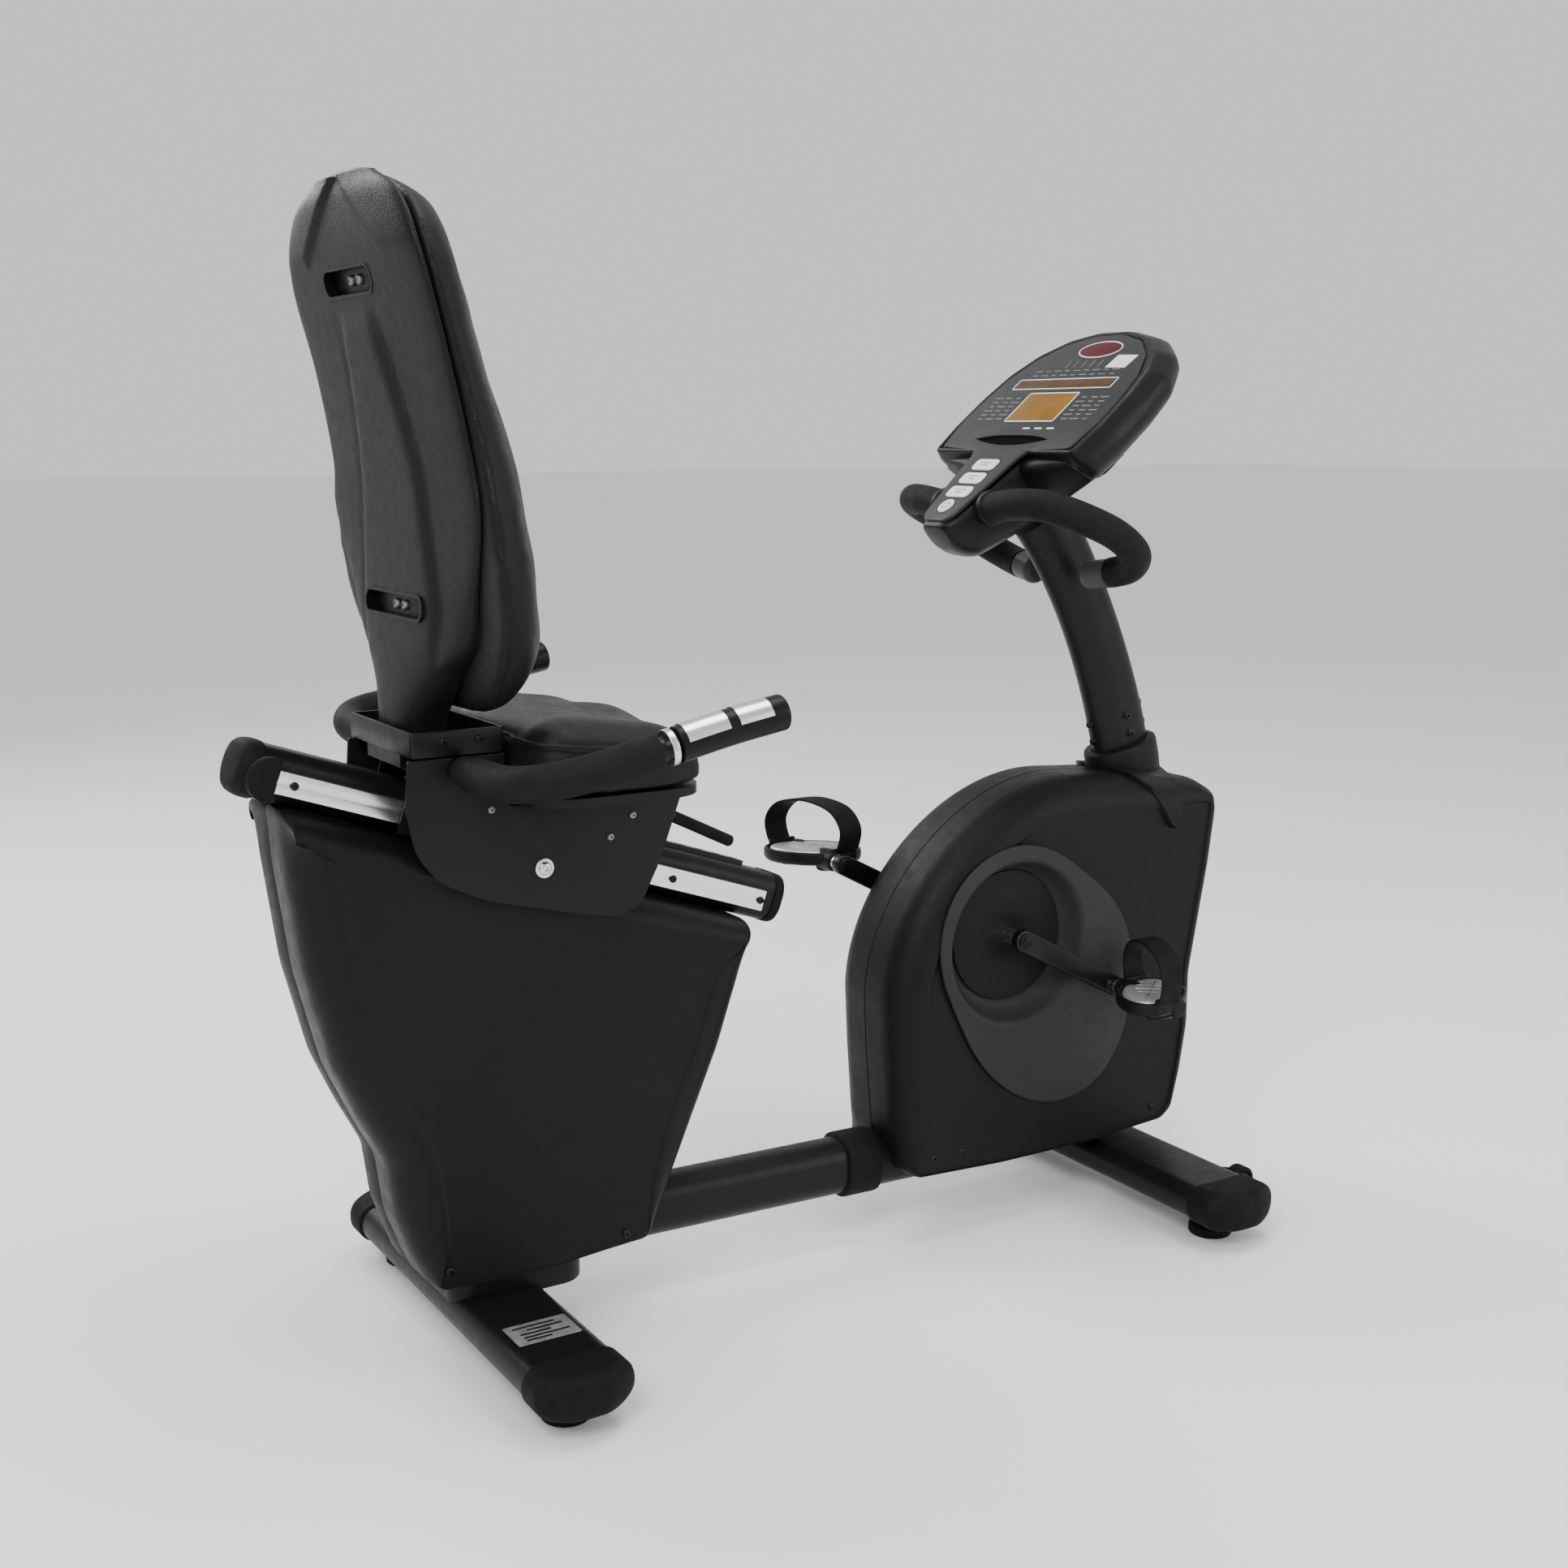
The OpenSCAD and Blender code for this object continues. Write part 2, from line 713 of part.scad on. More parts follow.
module roller_pair(along) {
    color("#dcdcd6") place() rail_frame() mirrored() difference() {
        y_bar([along, 0, roller_z], 12, 37.2, 46);
        y_bar([along, 0, roller_z], 4.06, 30, 60);
    }
}

module roller_front() { roller_pair(roller_along[1]); }
module roller_rear() { roller_pair(roller_along[0]); }

module carriage_frame() {
    color("#222323") place() difference() {
        union() {
            rail_frame() {
                mirrored() translate([-170, 47.5, -26]) cube([270, 5, 66]);
                translate([-170, -52.5, 40]) cube([270, 105, 4]);
                mirrored() for (x = roller_along) y_bar([x, 0, roller_z], 4, 37.2, 50);
            }
            difference() {
                union() {
                    translate([-92, -50, 640]) cube([28, 100, 60]);
                    translate([-28, -50, 640]) cube([36, 100, 60]);
                    translate([40, -50, 600]) cube([16, 100, 46]);
                    mirrored() translate([106, 22, 590]) cube([24, 28, 56]);
                }
                rail_frame() translate([-400, -100, -300]) cube([800, 200, 342]);
            }
            mirrored() for (p = spacer_places) y_bar([p[0], 0, p[1]], 6, 50, plate_y - plate_t);
        }
        mirrored() for (p = spacer_places) y_bar([p[0], 0, p[1]], 4.2, 69, 100);
        y_bar(lever_pivot, 6.06, -60, 0);
        y_bar(lever_pivot, 7, 10, 60);
        y_bar([-45, 0, 686], 12.7, -60, 60);
        rail_frame() translate([pin_along, 0, 30]) cylinder(r = 6.08, h = 40);
        translate([118, 0, 612]) cube([60, 26, 44], center = true);
    }
}

module side_plates() {
    color("#191a1a") place() mirrored() difference() {
        translate([0, plate_y, 0]) rotate([90, 0, 0]) linear_extrude(plate_t) polygon([
            [-100, 698], [-104, 645], [-94, 596], [-68, 563], [-16, 538], [60, 518], [139, 500],
            [170, 510], [196, 560], [226, 640], [10, 640], [10, 698]]);
        y_bar([-45, 0, 686], 13, 80, 110);
        for (p = spacer_places) y_bar([p[0], 0, p[1]], 4.5, 80, 110);
    }
}

module seat_lever() {
    color("#1a1b1b") place() {
        y_bar(lever_pivot, 6, -86, 12);
        y_bar(lever_pivot, 11, -76, -64);
        rod(curve([[118, -70, 628], [160, -70, 626], [206, -70, 611], [298, -70, 566]], 3), [0, 1, 0], 6, 6);
        for (y = [-9.5, 9.5]) rod([[118, y, 628], [170, y, 601]], [0, 1, 0], 2.6, 2.6);
    }
}

module lock_pin() {
    color("#a9acac") place() rail_frame() {
        translate([pin_along, 0, rail_height / 2 + 6.5]) cylinder(r = 6, h = 20.5);
        translate([pin_along, 0, rail_height / 2 + 27]) cylinder(r = 12, h = 4);
    }
}

module seat_pan() {
    color("#1a1a1a") place() difference() {
        translate([116, 0, 646]) linear_extrude(10) rounded(204, seat_width - 24, 50);
        translate([-100, -99, 600]) cube([128, 198, 100]);
    }
}

function seat_ring(z, inset) =
    [for (i = [0 : 27]) let (
        q = floor(i / 7), a = 90 * q + 15 * (i % 7), r = 64 - inset / 2,
        cx = (q == 0 || q == 3) ? 1 : -1, cy = q < 2 ? 1 : -1,
        x = 116 + cx * (110 - inset - r) + r * cos(a), y = cy * (seat_width / 2 - inset - r) + r * sin(a))
        [x, y, z - (z > 700 ? 0.1 * (x - 116) : 0)]];

module seat_cushion() {
    color("#17181a") place() difference() {
        loft([seat_ring(656.4, 8), seat_ring(664, 0), seat_ring(714, 0), seat_ring(726, 6), seat_ring(734, 24)]);
        translate([-100, -100, 600]) cube([112, 200, 200]);
    }
}

module backrest_bracket() {
    color("#1b1c1c") place() {
        difference() {
            translate([-96, -plate_y, 700]) cube([105, 2 * plate_y, 27]);
            translate([-92, -plate_y + 4, 704]) cube([97, 2 * plate_y - 8, 40]);
        }
        for (y = [-30, 22]) translate([-49, y, 704]) cube([6, 8, 106]);
    }
}

// Backrest levels: [height, half width, back, seam, front]
backrest_levels = [
    [742, 110, -68, -38, 0], [770, 160, -58, -37, 28], [800, 196, -53, -40, 36], [854, 222, -59, -48, 28],
    [950, 226, -70, -59, 11], [1005, 214, -74, -62, 4], [1100, 200, -91, -80, -18],
    [1200, 196, -115, -104, -51], [1262, 157, -121, -110, -64], [1292, 84, -119, -109, -86]];
shell_levels = concat([[704, 76, -80, -42, 0], [728, 84, -73, -40, 0]], backrest_levels);
cushion_levels = concat([[746, 122, 0, -34, 12], [762, 160, 0, -35, 26]], [for (i = [2 : 9]) backrest_levels[i]]);

function half_oval(z, w, from, to) =
    [for (i = [0 : 12]) let (a = (to > from ? 1 : -1) * (15 * i - 90))
        [from + (to - from) * pow(abs(cos(a)), 0.55), w * sign(a) * pow(abs(sin(a)), 0.8), z]];

module backrest_shell() {
    color("#1a1b1c") place() difference() {
        loft([for (v = shell_levels) half_oval(v[0], v[1], v[3], v[2])]);
        for (y = [-30, 22]) translate([-49.5, y - 0.5, 690]) cube([20, 9, 120.5]);
    }
}

module backrest_cushion() {
    color("#1d1e20") place()
        loft([for (v = cushion_levels) half_oval(v[0], v[1] + 8, v[3] + 1, v[4])]);
}

module seat_handlebar() {
    full = concat([for (i = [len(handle_path) - 1 : -1 : 0]) [handle_path[i][0], -handle_path[i][1], handle_path[i][2]]],
        handle_path);
    color("#6d7070") place() rod(full, [0, 0, 1], 12.5, 12.5);
}

// Stretch of a path with e taken off each end
function stretch(p, from, to, e) = concat(
    [p[from] + unit(p[from + 1] - p[from]) * e],
    [for (i = [from + 1 : to - 1]) p[i]],
    [p[to] - unit(p[to] - p[to - 1]) * e]);

module sleeve(from, to, r) {
    path = stretch(handle_path, from, to, 2);
    difference() {
        rod(path, [0, 0, 1], r, r);
        rod(lengthened(path, 3), [0, 0, 1], 12.8, 12.8);
    }
}

module handlebar_foam() {
    color("#1a1b1b") place() mirrored() sleeve(2, foam_to, 19);
}

module pulse_grips() {
    color("#141414") place() mirrored() sleeve(foam_to, len(handle_path) - 1, 19.6);
}

module seat_screws() {
    color("#c2c5c5") place() mirrored() {
        for (p = spacer_places) y_bar([p[0], 0, p[1]], 4.2, 70, plate_y + 0.2);
        y_bar([spacer_places[0][0], 0, spacer_places[0][1]], 12, plate_y, plate_y + 2);
        for (p = spacer_places) y_bar([p[0], 0, p[1]], 7, plate_y + 0.2, plate_y + 4);
    }
}

module frame_screws() {
    color("#101111") place() {
        rail_frame() mirrored() for (x = [-290, 178, 303])
            y_bar([x, 0, -4], 5, strip_y + 0.02, strip_y + 1.6);
        for (t = [11.4, 12]) translate(mast_point(t / 20)) rotate([0, -20, 0]) {
            mirrored() y_bar([0, 0, 0], 5, 26.05, 30);
            for (side = [0, 180]) rotate([0, 90 + side, 0]) translate([0, 0, 44.5]) cylinder(r = 5, h = 5);
        }
    }
}

main_beam();
rear_stabiliser();
front_stabiliser();
stabiliser_caps();
foot_rear_left();
foot_rear_right();
foot_front_left();
foot_front_right();
wheel_left();
wheel_right();
rear_post();
mast_post();
seat_rail();
rail_strips();
rail_end_caps();
lock_rack();
rear_shroud_left();
rear_shroud_right();
front_shroud_left();
front_shroud_right();
shroud_trims();
beam_collar();
mast_collar();
frame_screws();
mast();
front_handlebar();
console_back();
console_face();
displays();
console_board();
key_1();
key_2();
key_3();
key_4();
drive_bracket();
crank_bearings();
flywheel();
idler();
drive_belt();
crank_axle();
crank_arms();
crank_discs();
drive_pulley();
pedal_left();
pedal_right();
carriage_frame();
side_plates();
roller_front();
roller_rear();
seat_lever();
lock_pin();
seat_pan();
seat_cushion();
backrest_bracket();
backrest_shell();
backrest_cushion();
seat_handlebar();
handlebar_foam();
pulse_grips();
seat_screws();
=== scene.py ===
"""Looks of the recumbent exercise bike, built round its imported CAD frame.

Shapes are worked out in millimetres from the line of the rear stabiliser, as in the
part's own drawing, and metres() brings them to the shared frame.
"""

import math

import bmesh
import bpy
import numpy as np
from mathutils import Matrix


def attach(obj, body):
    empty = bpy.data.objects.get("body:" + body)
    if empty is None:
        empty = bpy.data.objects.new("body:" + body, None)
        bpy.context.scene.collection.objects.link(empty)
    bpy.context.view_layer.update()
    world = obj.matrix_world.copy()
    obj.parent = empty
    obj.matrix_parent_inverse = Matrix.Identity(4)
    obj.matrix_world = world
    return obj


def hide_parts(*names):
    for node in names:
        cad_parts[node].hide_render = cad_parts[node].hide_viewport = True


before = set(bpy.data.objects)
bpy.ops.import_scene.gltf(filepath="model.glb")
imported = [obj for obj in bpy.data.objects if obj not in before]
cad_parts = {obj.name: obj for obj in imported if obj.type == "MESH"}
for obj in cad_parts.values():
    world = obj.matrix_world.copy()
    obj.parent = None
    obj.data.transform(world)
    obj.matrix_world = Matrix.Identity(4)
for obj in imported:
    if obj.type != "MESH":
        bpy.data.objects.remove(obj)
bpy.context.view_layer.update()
scene = bpy.context.scene

MID_X = 403
RAIL_MIDDLE = (70.5, 0, 584)
RAIL_TILT = math.radians(19)
CONSOLE_MIDDLE = (804, 0, 1065)
CONSOLE_TILT = math.radians(39.5)
CRANK = (719, 0, 392)
CRANK_RADIUS = 175
CRANK_ANGLE = math.radians(28)
PEDAL_Y = 168
LEFT_RIGHT = (("left", 1), ("right", -1))
AHEAD, ACROSS, UP = (1, 0, 0), (0, 1, 0), (0, 0, 1)


# ---------- Places ----------


def metres(points):
    return (np.asarray(points, float).reshape(-1, 3) - (MID_X, 0, 0)) / 1000


def upright(y, side=1):
    """Drawing plane of a side view at a distance y to the left: (x, z, out)."""
    return lambda u, v, out: (u, side * (y + out), v)


def plan(x, y, z):
    return lambda u, v, out: (x + u, y + v, z + out)


def rail(u, v, w):
    """Rail frame: u along the rail, v across, w out of its top."""
    c, s = math.cos(RAIL_TILT), math.sin(RAIL_TILT)
    return (RAIL_MIDDLE[0] + u * c + w * s, v, RAIL_MIDDLE[2] - u * s + w * c)


def console(u, v, w):
    """Console frame: u up the slope, v across, w out of the face."""
    c, s = math.cos(CONSOLE_TILT), math.sin(CONSOLE_TILT)
    return (CONSOLE_MIDDLE[0] + u * c - w * s, v, CONSOLE_MIDDLE[2] + u * s + w * c)


# ---------- Mesh helpers: each returns (points, faces) ----------


def loft(rings, closed=False):
    rings = np.asarray(rings, float)
    m, n = rings.shape[:2]
    faces = []
    for j in range(m if closed else m - 1):
        a, b = j * n, (j + 1) % m * n
        faces += [(a + i, b + i, b + (i + 1) % n, a + (i + 1) % n) for i in range(n)]
    if not closed:
        faces += [tuple(range(n)), tuple((m - 1) * n + i for i in reversed(range(n)))]
    return rings.reshape(-1, 3), faces


def merged(*meshes):
    points, faces, start = [], [], 0
    for p, f in meshes:
        points.append(np.asarray(p, float).reshape(-1, 3))
        faces += [tuple(i + start for i in face) for face in f]
        start += len(points[-1])
    return np.vstack(points), faces


def mirrored(mesh):
    points, faces = mesh
    return np.asarray(points, float).reshape(-1, 3) * (1, -1, 1), faces


def both_sides(*meshes):
    mesh = merged(*meshes)
    return merged(mesh, mirrored(mesh))


def unit(v):
    v = np.asarray(v, float)
    return v / np.linalg.norm(v, axis=-1, keepdims=True)


def curve(points, steps=6):
    """Catmull-Rom curve through the points."""
    p = np.asarray(points, float)
    q = np.vstack([2 * p[0] - p[1], p, 2 * p[-1] - p[-2]])
    out = []
    for i in range(len(p) - 1):
        a, b, c, d = q[i : i + 4]
        for k in range(steps):
            t = k / steps
            bend = (2 * a - 5 * b + 4 * c - d) * t**2 + (3 * b - a - 3 * c + d) * t**3
            out.append(0.5 * (2 * b + (c - a) * t + bend))
    return np.array(out + [p[-1]])


def headings(path):
    ahead = np.vstack([path[1:], path[-1]])
    behind = np.vstack([path[0], path[:-1]])
    return unit(ahead - behind)


def sweep(path, ref, a, b=None, sides=40, dome=(0, 0), power=1.0):
    """Bar of half sizes a (sideways) and b on a path. Each end may be rounded outward."""
    b = a if b is None else b
    path = np.asarray(path, float)
    along = headings(path)
    a = np.broadcast_to(a, len(path))
    b = np.broadcast_to(b, len(path))
    angle = (np.arange(sides) + 0.5) * 2 * math.pi / sides
    u = np.sign(np.cos(angle)) * np.abs(np.cos(angle)) ** power
    v = np.sign(np.sin(angle)) * np.abs(np.sin(angle)) ** power

    def ring(centre, t, wide, high):
        s = unit(np.cross(ref, t))
        return centre + np.outer(u * wide, s) + np.outer(v * high, np.cross(t, s))

    rings = [ring(path[i], along[i], a[i], b[i]) for i in range(len(path))]
    for end, e, sign in ((0, dome[0], -1), (-1, dome[1], 1)):
        if not e:
            continue
        r = min(e, a[end] - 0.5, b[end] - 0.5)
        extra = []
        for phi in np.radians(np.arange(15, 91, 15)):
            cut = r * (1 - math.cos(phi))
            centre = path[end] + sign * along[end] * e * math.sin(phi)
            extra.append(ring(centre, along[end], a[end] - cut, b[end] - cut))
        rings = extra[::-1] + rings if end == 0 else rings + extra
    return loft(rings)


def lathe(profile, centre, axis, sides=40):
    """Closed profile of (radius, height) turned round an axis."""
    axis = unit(axis)
    helper = UP if abs(axis[2]) < 0.9 else AHEAD
    s = unit(np.cross(helper, axis))
    u = np.cross(axis, s)
    w = np.arange(sides) * 2 * math.pi / sides
    around = np.outer(np.cos(w), s) + np.outer(np.sin(w), u)
    return loft([np.asarray(centre) + axis * h + around * max(r, 0.02) for r, h in profile])


def rounded_profile(r, low, high, edge=1.5):
    """Lathe profile of a cylinder with rounded rims."""
    turn = np.radians(np.arange(0, 91, 22.5))
    bottom = [(r - edge + edge * math.sin(t), low + edge - edge * math.cos(t)) for t in turn]
    top = [(r - edge + edge * math.cos(t), high - edge + edge * math.sin(t)) for t in turn]
    return [(0, low)] + bottom + top + [(0, high)]


def disc(centre, axis, r, low, high, edge=1.5, sides=48):
    return lathe(rounded_profile(r, low, high, edge), centre, axis, sides)


def rounded(w, h, r, n=8):
    """Rectangle w by h with corners of radius r, as an outline."""
    out = []
    for k, (sx, sy) in enumerate(((1, 1), (-1, 1), (-1, -1), (1, -1))):
        for t in np.radians(90 * k + np.linspace(0, 90, n)):
            out.append((sx * (w / 2 - r) + r * math.cos(t), sy * (h / 2 - r) + r * math.sin(t)))
    return np.array(out)


def oval(a, b, turn=0.0, n=72):
    t = np.arange(n) * 2 * math.pi / n
    x, y = a * np.cos(t), b * np.sin(t)
    c, s = math.cos(turn), math.sin(turn)
    return np.column_stack([x * c - y * s, x * s + y * c])


def filleted(points, radii, n=7):
    """Polygon with each corner rounded to its own radius."""
    p = np.asarray(points, float)
    radii = np.broadcast_to(radii, len(p))
    out = []
    for i, b in enumerate(p):
        a, c = p[i - 1], p[(i + 1) % len(p)]
        da, dc = unit(a - b), unit(c - b)
        half = math.acos(float(np.clip(da @ dc, -1, 1))) / 2
        reach = min(radii[i] / math.tan(half), 0.48 * np.linalg.norm(a - b), 0.48 * np.linalg.norm(c - b))
        start, end = b + da * reach, b + dc * reach
        for t in np.linspace(0, 1, n):
            out.append((1 - t) ** 2 * start + 2 * t * (1 - t) * b + t**2 * end)
    return np.array(out)


def edge_counts(points, longest):
    pairs = zip(points, np.roll(points, -1, axis=0))
    return [max(1, math.ceil(np.linalg.norm(b - a) / longest)) for a, b in pairs]


def smooth_outline(points, longest=30, rounds=2, counts=None):
    """Cuts the corners of a polygon into a smooth closed curve."""
    p = np.asarray(points, float)
    fine = []
    for a, b, k in zip(p, np.roll(p, -1, axis=0), counts or edge_counts(p, longest)):
        fine += [a + (b - a) * i / k for i in range(k)]
    p = np.array(fine)
    for _ in range(rounds):
        q = np.roll(p, -1, axis=0)
        p = np.stack([0.75 * p + 0.25 * q, 0.25 * p + 0.75 * q], axis=1).reshape(-1, p.shape[1])
    return p


def inset(outline, d):
    """Outline moved inward by d, which may differ from point to point."""
    o = np.asarray(outline, float)[:, :2]
    along = unit(np.roll(o, -1, axis=0) - np.roll(o, 1, axis=0))
    out = np.column_stack([along[:, 1], -along[:, 0]])
    area = np.sum(o[:, 0] * np.roll(o[:, 1], -1) - np.roll(o[:, 0], -1) * o[:, 1])
    return o - out * np.reshape(np.broadcast_to(d, len(o)), (-1, 1)) * (1 if area > 0 else -1)


def laid(outline, place, height):
    return [place(u, v, height) for u, v in outline]


def stepped(outline, place, stops):
    """Solid whose outline is inset further or less at each height, from (inset, height)."""
    return loft([laid(inset(outline, d), place, h) for d, h in stops])


def turned(centre, stops, n):
    """Closed ring round an axis that runs across, from (radius, distance across)."""
    w = np.arange(n) * 2 * math.pi / n
    return loft([np.asarray(centre) + np.column_stack([r * np.cos(w), np.full(n, h), r * np.sin(w)])
                 for r, h in stops], closed=True)


def whole(half):
    """Outline from its left half."""
    return half + [(u, -v) for u, v in half[::-1]]


def plate(outline, place, low, high, edge=1.0, steps=3, both=True):
    """Flat plate on an outline, with rounded rims."""
    turn = np.linspace(0, math.pi / 2, steps + 1)
    rise = edge * (1 - np.cos(turn))
    fall = edge * (1 - np.sin(turn))
    start = [(f, low + g) for f, g in zip(fall, rise)] if both else [(0, low)]
    return stepped(outline, place, start + [(g, high - f) for f, g in zip(fall, rise)])


def border(outline, width, place, low, high):
    """Thin raised line that follows an outline on the inside."""
    inner = inset(outline, width)
    return loft([laid(outline, place, low), laid(outline, place, high),
                 laid(inner, place, high), laid(inner, place, low)], closed=True)


def hull_of(points):
    bm = bmesh.new()
    for p in np.asarray(points, float).reshape(-1, 3):
        bm.verts.new(p)
    found = bmesh.ops.convex_hull(bm, input=list(bm.verts))
    spare = [v for v in found["geom_interior"] + found["geom_unused"] if isinstance(v, bmesh.types.BMVert)]
    bmesh.ops.delete(bm, geom=list(set(spare)), context="VERTS")
    bm.verts.index_update()
    mesh = ([tuple(v.co) for v in bm.verts], [tuple(v.index for v in f.verts) for f in bm.faces])
    bm.free()
    return mesh


def screw(centre, normal, r, high):
    """Button head with a round key recess."""
    profile = [(0, -1), (r, -1), (r, high * 0.35), (r * 0.92, high * 0.65), (r * 0.7, high * 0.9)]
    profile += [(r * 0.5, high), (r * 0.42, high), (r * 0.4, high * 0.3), (0, high * 0.3)]
    return lathe(profile, centre, normal, 24)


# ---------- Materials ----------


# The part of the noise's range that is used, and how far the gloss varies
NOISE_RANGE = (0.3, 0.7)
GLOSS_SPREAD = 0.12


def shade(colour, factor):
    return tuple(min(1.0, c * factor) for c in colour) + (1.0,)


def fill(node, values):
    for name, value in values.items():
        node.inputs[name].default_value = value


def finish_look(name, colour, rough, metal=0.0, spread=0.12, patch=9.0, grain=0.0, grain_size=900.0,
                coat=0.0, cells=False, stretch=(1, 1, 1), gloss_level=0.13):
    """Surface with uneven tone, uneven gloss and a fine relief, all procedural."""
    mat = bpy.data.materials.new(name)
    mat.use_nodes = True
    nodes, links = mat.node_tree.nodes, mat.node_tree.links
    shader = nodes["Principled BSDF"]
    fill(shader, {"Metallic": metal, "Coat Weight": coat, "Coat Roughness": 0.25})
    if not metal:
        fill(shader, {"Specular IOR Level": gloss_level})
    where = nodes.new("ShaderNodeTexCoord")
    mapping = nodes.new("ShaderNodeMapping")
    fill(mapping, {"Scale": stretch})
    links.new(where.outputs["Object"], mapping.inputs["Vector"])

    def noise(scale, detail):
        node = nodes.new("ShaderNodeTexNoise")
        fill(node, {"Scale": scale, "Detail": detail})
        links.new(mapping.outputs["Vector"], node.inputs["Vector"])
        return node

    tone = noise(patch, 6)
    ramp = nodes.new("ShaderNodeValToRGB")
    for stop, place, factor in zip(ramp.color_ramp.elements, NOISE_RANGE, (1 - spread, 1 + spread)):
        stop.position = place
        stop.color = shade(colour, factor)
    links.new(tone.outputs["Fac"], ramp.inputs["Fac"])
    links.new(ramp.outputs["Color"], shader.inputs["Base Color"])
    gloss = noise(patch * 7, 4)
    range_ = nodes.new("ShaderNodeMapRange")
    fill(range_, {"From Min": NOISE_RANGE[0], "From Max": NOISE_RANGE[1],
                  "To Min": max(0.03, rough * (1 - GLOSS_SPREAD)),
                  "To Max": min(1.0, rough * (1 + GLOSS_SPREAD))})
    links.new(gloss.outputs["Fac"], range_.inputs["Value"])
    links.new(range_.outputs["Result"], shader.inputs["Roughness"])
    if grain:
        if cells:
            relief = nodes.new("ShaderNodeTexVoronoi")
            fill(relief, {"Scale": grain_size})
            links.new(mapping.outputs["Vector"], relief.inputs["Vector"])
            height = relief.outputs["Distance"]
        else:
            height = noise(grain_size, 3).outputs["Fac"]
        bump = nodes.new("ShaderNodeBump")
        fill(bump, {"Strength": grain, "Distance": 0.0006})
        links.new(height, bump.inputs["Height"])
        links.new(bump.outputs["Normal"], shader.inputs["Normal"])
    return mat


LOOKS = {
    name: finish_look(name, *args, **more)
    for name, args, more in (
        ("frame_black", ((0.0056, 0.0059, 0.0059), 0.42), {"grain": 0.25, "coat": 0.05}),
        ("shroud_black", ((0.0044, 0.0048, 0.0047), 0.48), {"grain": 0.35, "grain_size": 1100}),
        ("trim_charcoal", ((0.021, 0.0225, 0.0205), 0.55), {"grain": 0.4, "grain_size": 1000}),
        ("aluminium_rail", ((0.72, 0.73, 0.7), 0.3), {"metal": 1, "grain": 0.15, "grain_size": 260,
                                                        "stretch": (0.12, 1, 1), "spread": 0.06}),
        ("rubber_black", ((0.004, 0.004, 0.004), 0.72), {"grain": 0.3}),
        ("steel_bright", ((0.66, 0.67, 0.66), 0.24), {"metal": 1, "grain": 0.08, "spread": 0.05}),
        ("steel_black", ((0.0099, 0.0103, 0.0103), 0.32), {"metal": 0.7, "grain": 0.1}),
        ("leather_seat", ((0.0063, 0.0068, 0.0068), 0.45), {"grain": 0.55, "grain_size": 620, "cells": True}),
        ("leather_back", ((0.0055, 0.0059, 0.0059), 0.43), {"grain": 0.5, "grain_size": 620, "cells": True}),
        ("foam_black", ((0.0053, 0.0056, 0.0059), 0.7), {"grain": 0.6, "grain_size": 1500}),
        ("console_black", ((0.0053, 0.0055, 0.0055), 0.4), {"grain": 0.3, "coat": 0.04}),
        ("console_face", ((0.0198, 0.0209, 0.022), 0.42), {"grain": 0.15, "spread": 0.08}),
        ("display_amber", ((0.17, 0.078, 0.007), 0.4), {"spread": 0.16, "patch": 30, "gloss_level": 0.1}),
        ("display_brown", ((0.06, 0.028, 0.012), 0.4), {"spread": 0.2, "patch": 60, "gloss_level": 0.1}),
        ("cap_grey", ((0.05, 0.052, 0.05), 0.4), {"grain": 0.15}),
        ("board_green", ((0.02, 0.12, 0.05), 0.45), {"grain": 0.1}),
        ("key_white", ((0.66, 0.67, 0.63), 0.42), {"spread": 0.05, "grain": 0.1}),
        ("print_white", ((0.6, 0.61, 0.58), 0.5), {"spread": 0.08, "patch": 120}),
        ("print_grey", ((0.14, 0.145, 0.14), 0.55), {"spread": 0.25, "patch": 160}),
        ("badge_red", ((0.055, 0.004, 0.007), 0.4), {"spread": 0.15, "gloss_level": 0.1}),
        ("cast_iron", ((0.22, 0.225, 0.23), 0.5), {"metal": 0.9, "grain": 0.5, "grain_size": 500}),
        ("pedal_black", ((0.0059, 0.0059, 0.0059), 0.45), {"grain": 0.35}),
        ("pedal_plate", ((0.42, 0.43, 0.43), 0.36), {"metal": 0.6, "grain": 0.2, "grain_size": 500}),
        ("roller_white", ((0.62, 0.62, 0.58), 0.5), {"spread": 0.05, "grain": 0.1}),
        ("grip_black", ((0.0043, 0.0044, 0.0044), 0.34), {"grain": 0.2}),
        ("belt_black", ((0.0033, 0.0033, 0.0033), 0.65), {"grain": 0.4}),
        # Near black with almost no gloss: painted shade, for the sheet at the bottom of the console's slot
        ("painted_shade_black", ((0.0008, 0.0008, 0.0008), 0.9), {"gloss_level": 0.05}),
        ("label_silver", ((0.24, 0.25, 0.245), 0.4), {"metal": 0.4, "spread": 0.3, "patch": 90}),
    )
}


# Distance in metres below which two points of a piece are one
WELD = 2e-6


def mesh_data(name, mesh, weld=0):
    """Blender mesh in metres, its faces turned outward and points nearer than weld joined."""
    points, faces = mesh
    data = bpy.data.meshes.new(name)
    data.from_pydata(metres(points).tolist(), [], faces)
    bm = bmesh.new()
    bm.from_mesh(data)
    if weld:
        bmesh.ops.remove_doubles(bm, verts=bm.verts, dist=weld)
    bmesh.ops.recalc_face_normals(bm, faces=bm.faces)
    bm.to_mesh(data)
    bm.free()
    return data


def applied(obj):
    """Mesh of a piece with its modifiers applied; the modifiers are taken off."""
    mesh = bpy.data.meshes.new_from_object(obj.evaluated_get(bpy.context.evaluated_depsgraph_get()))
    obj.modifiers.clear()
    return mesh


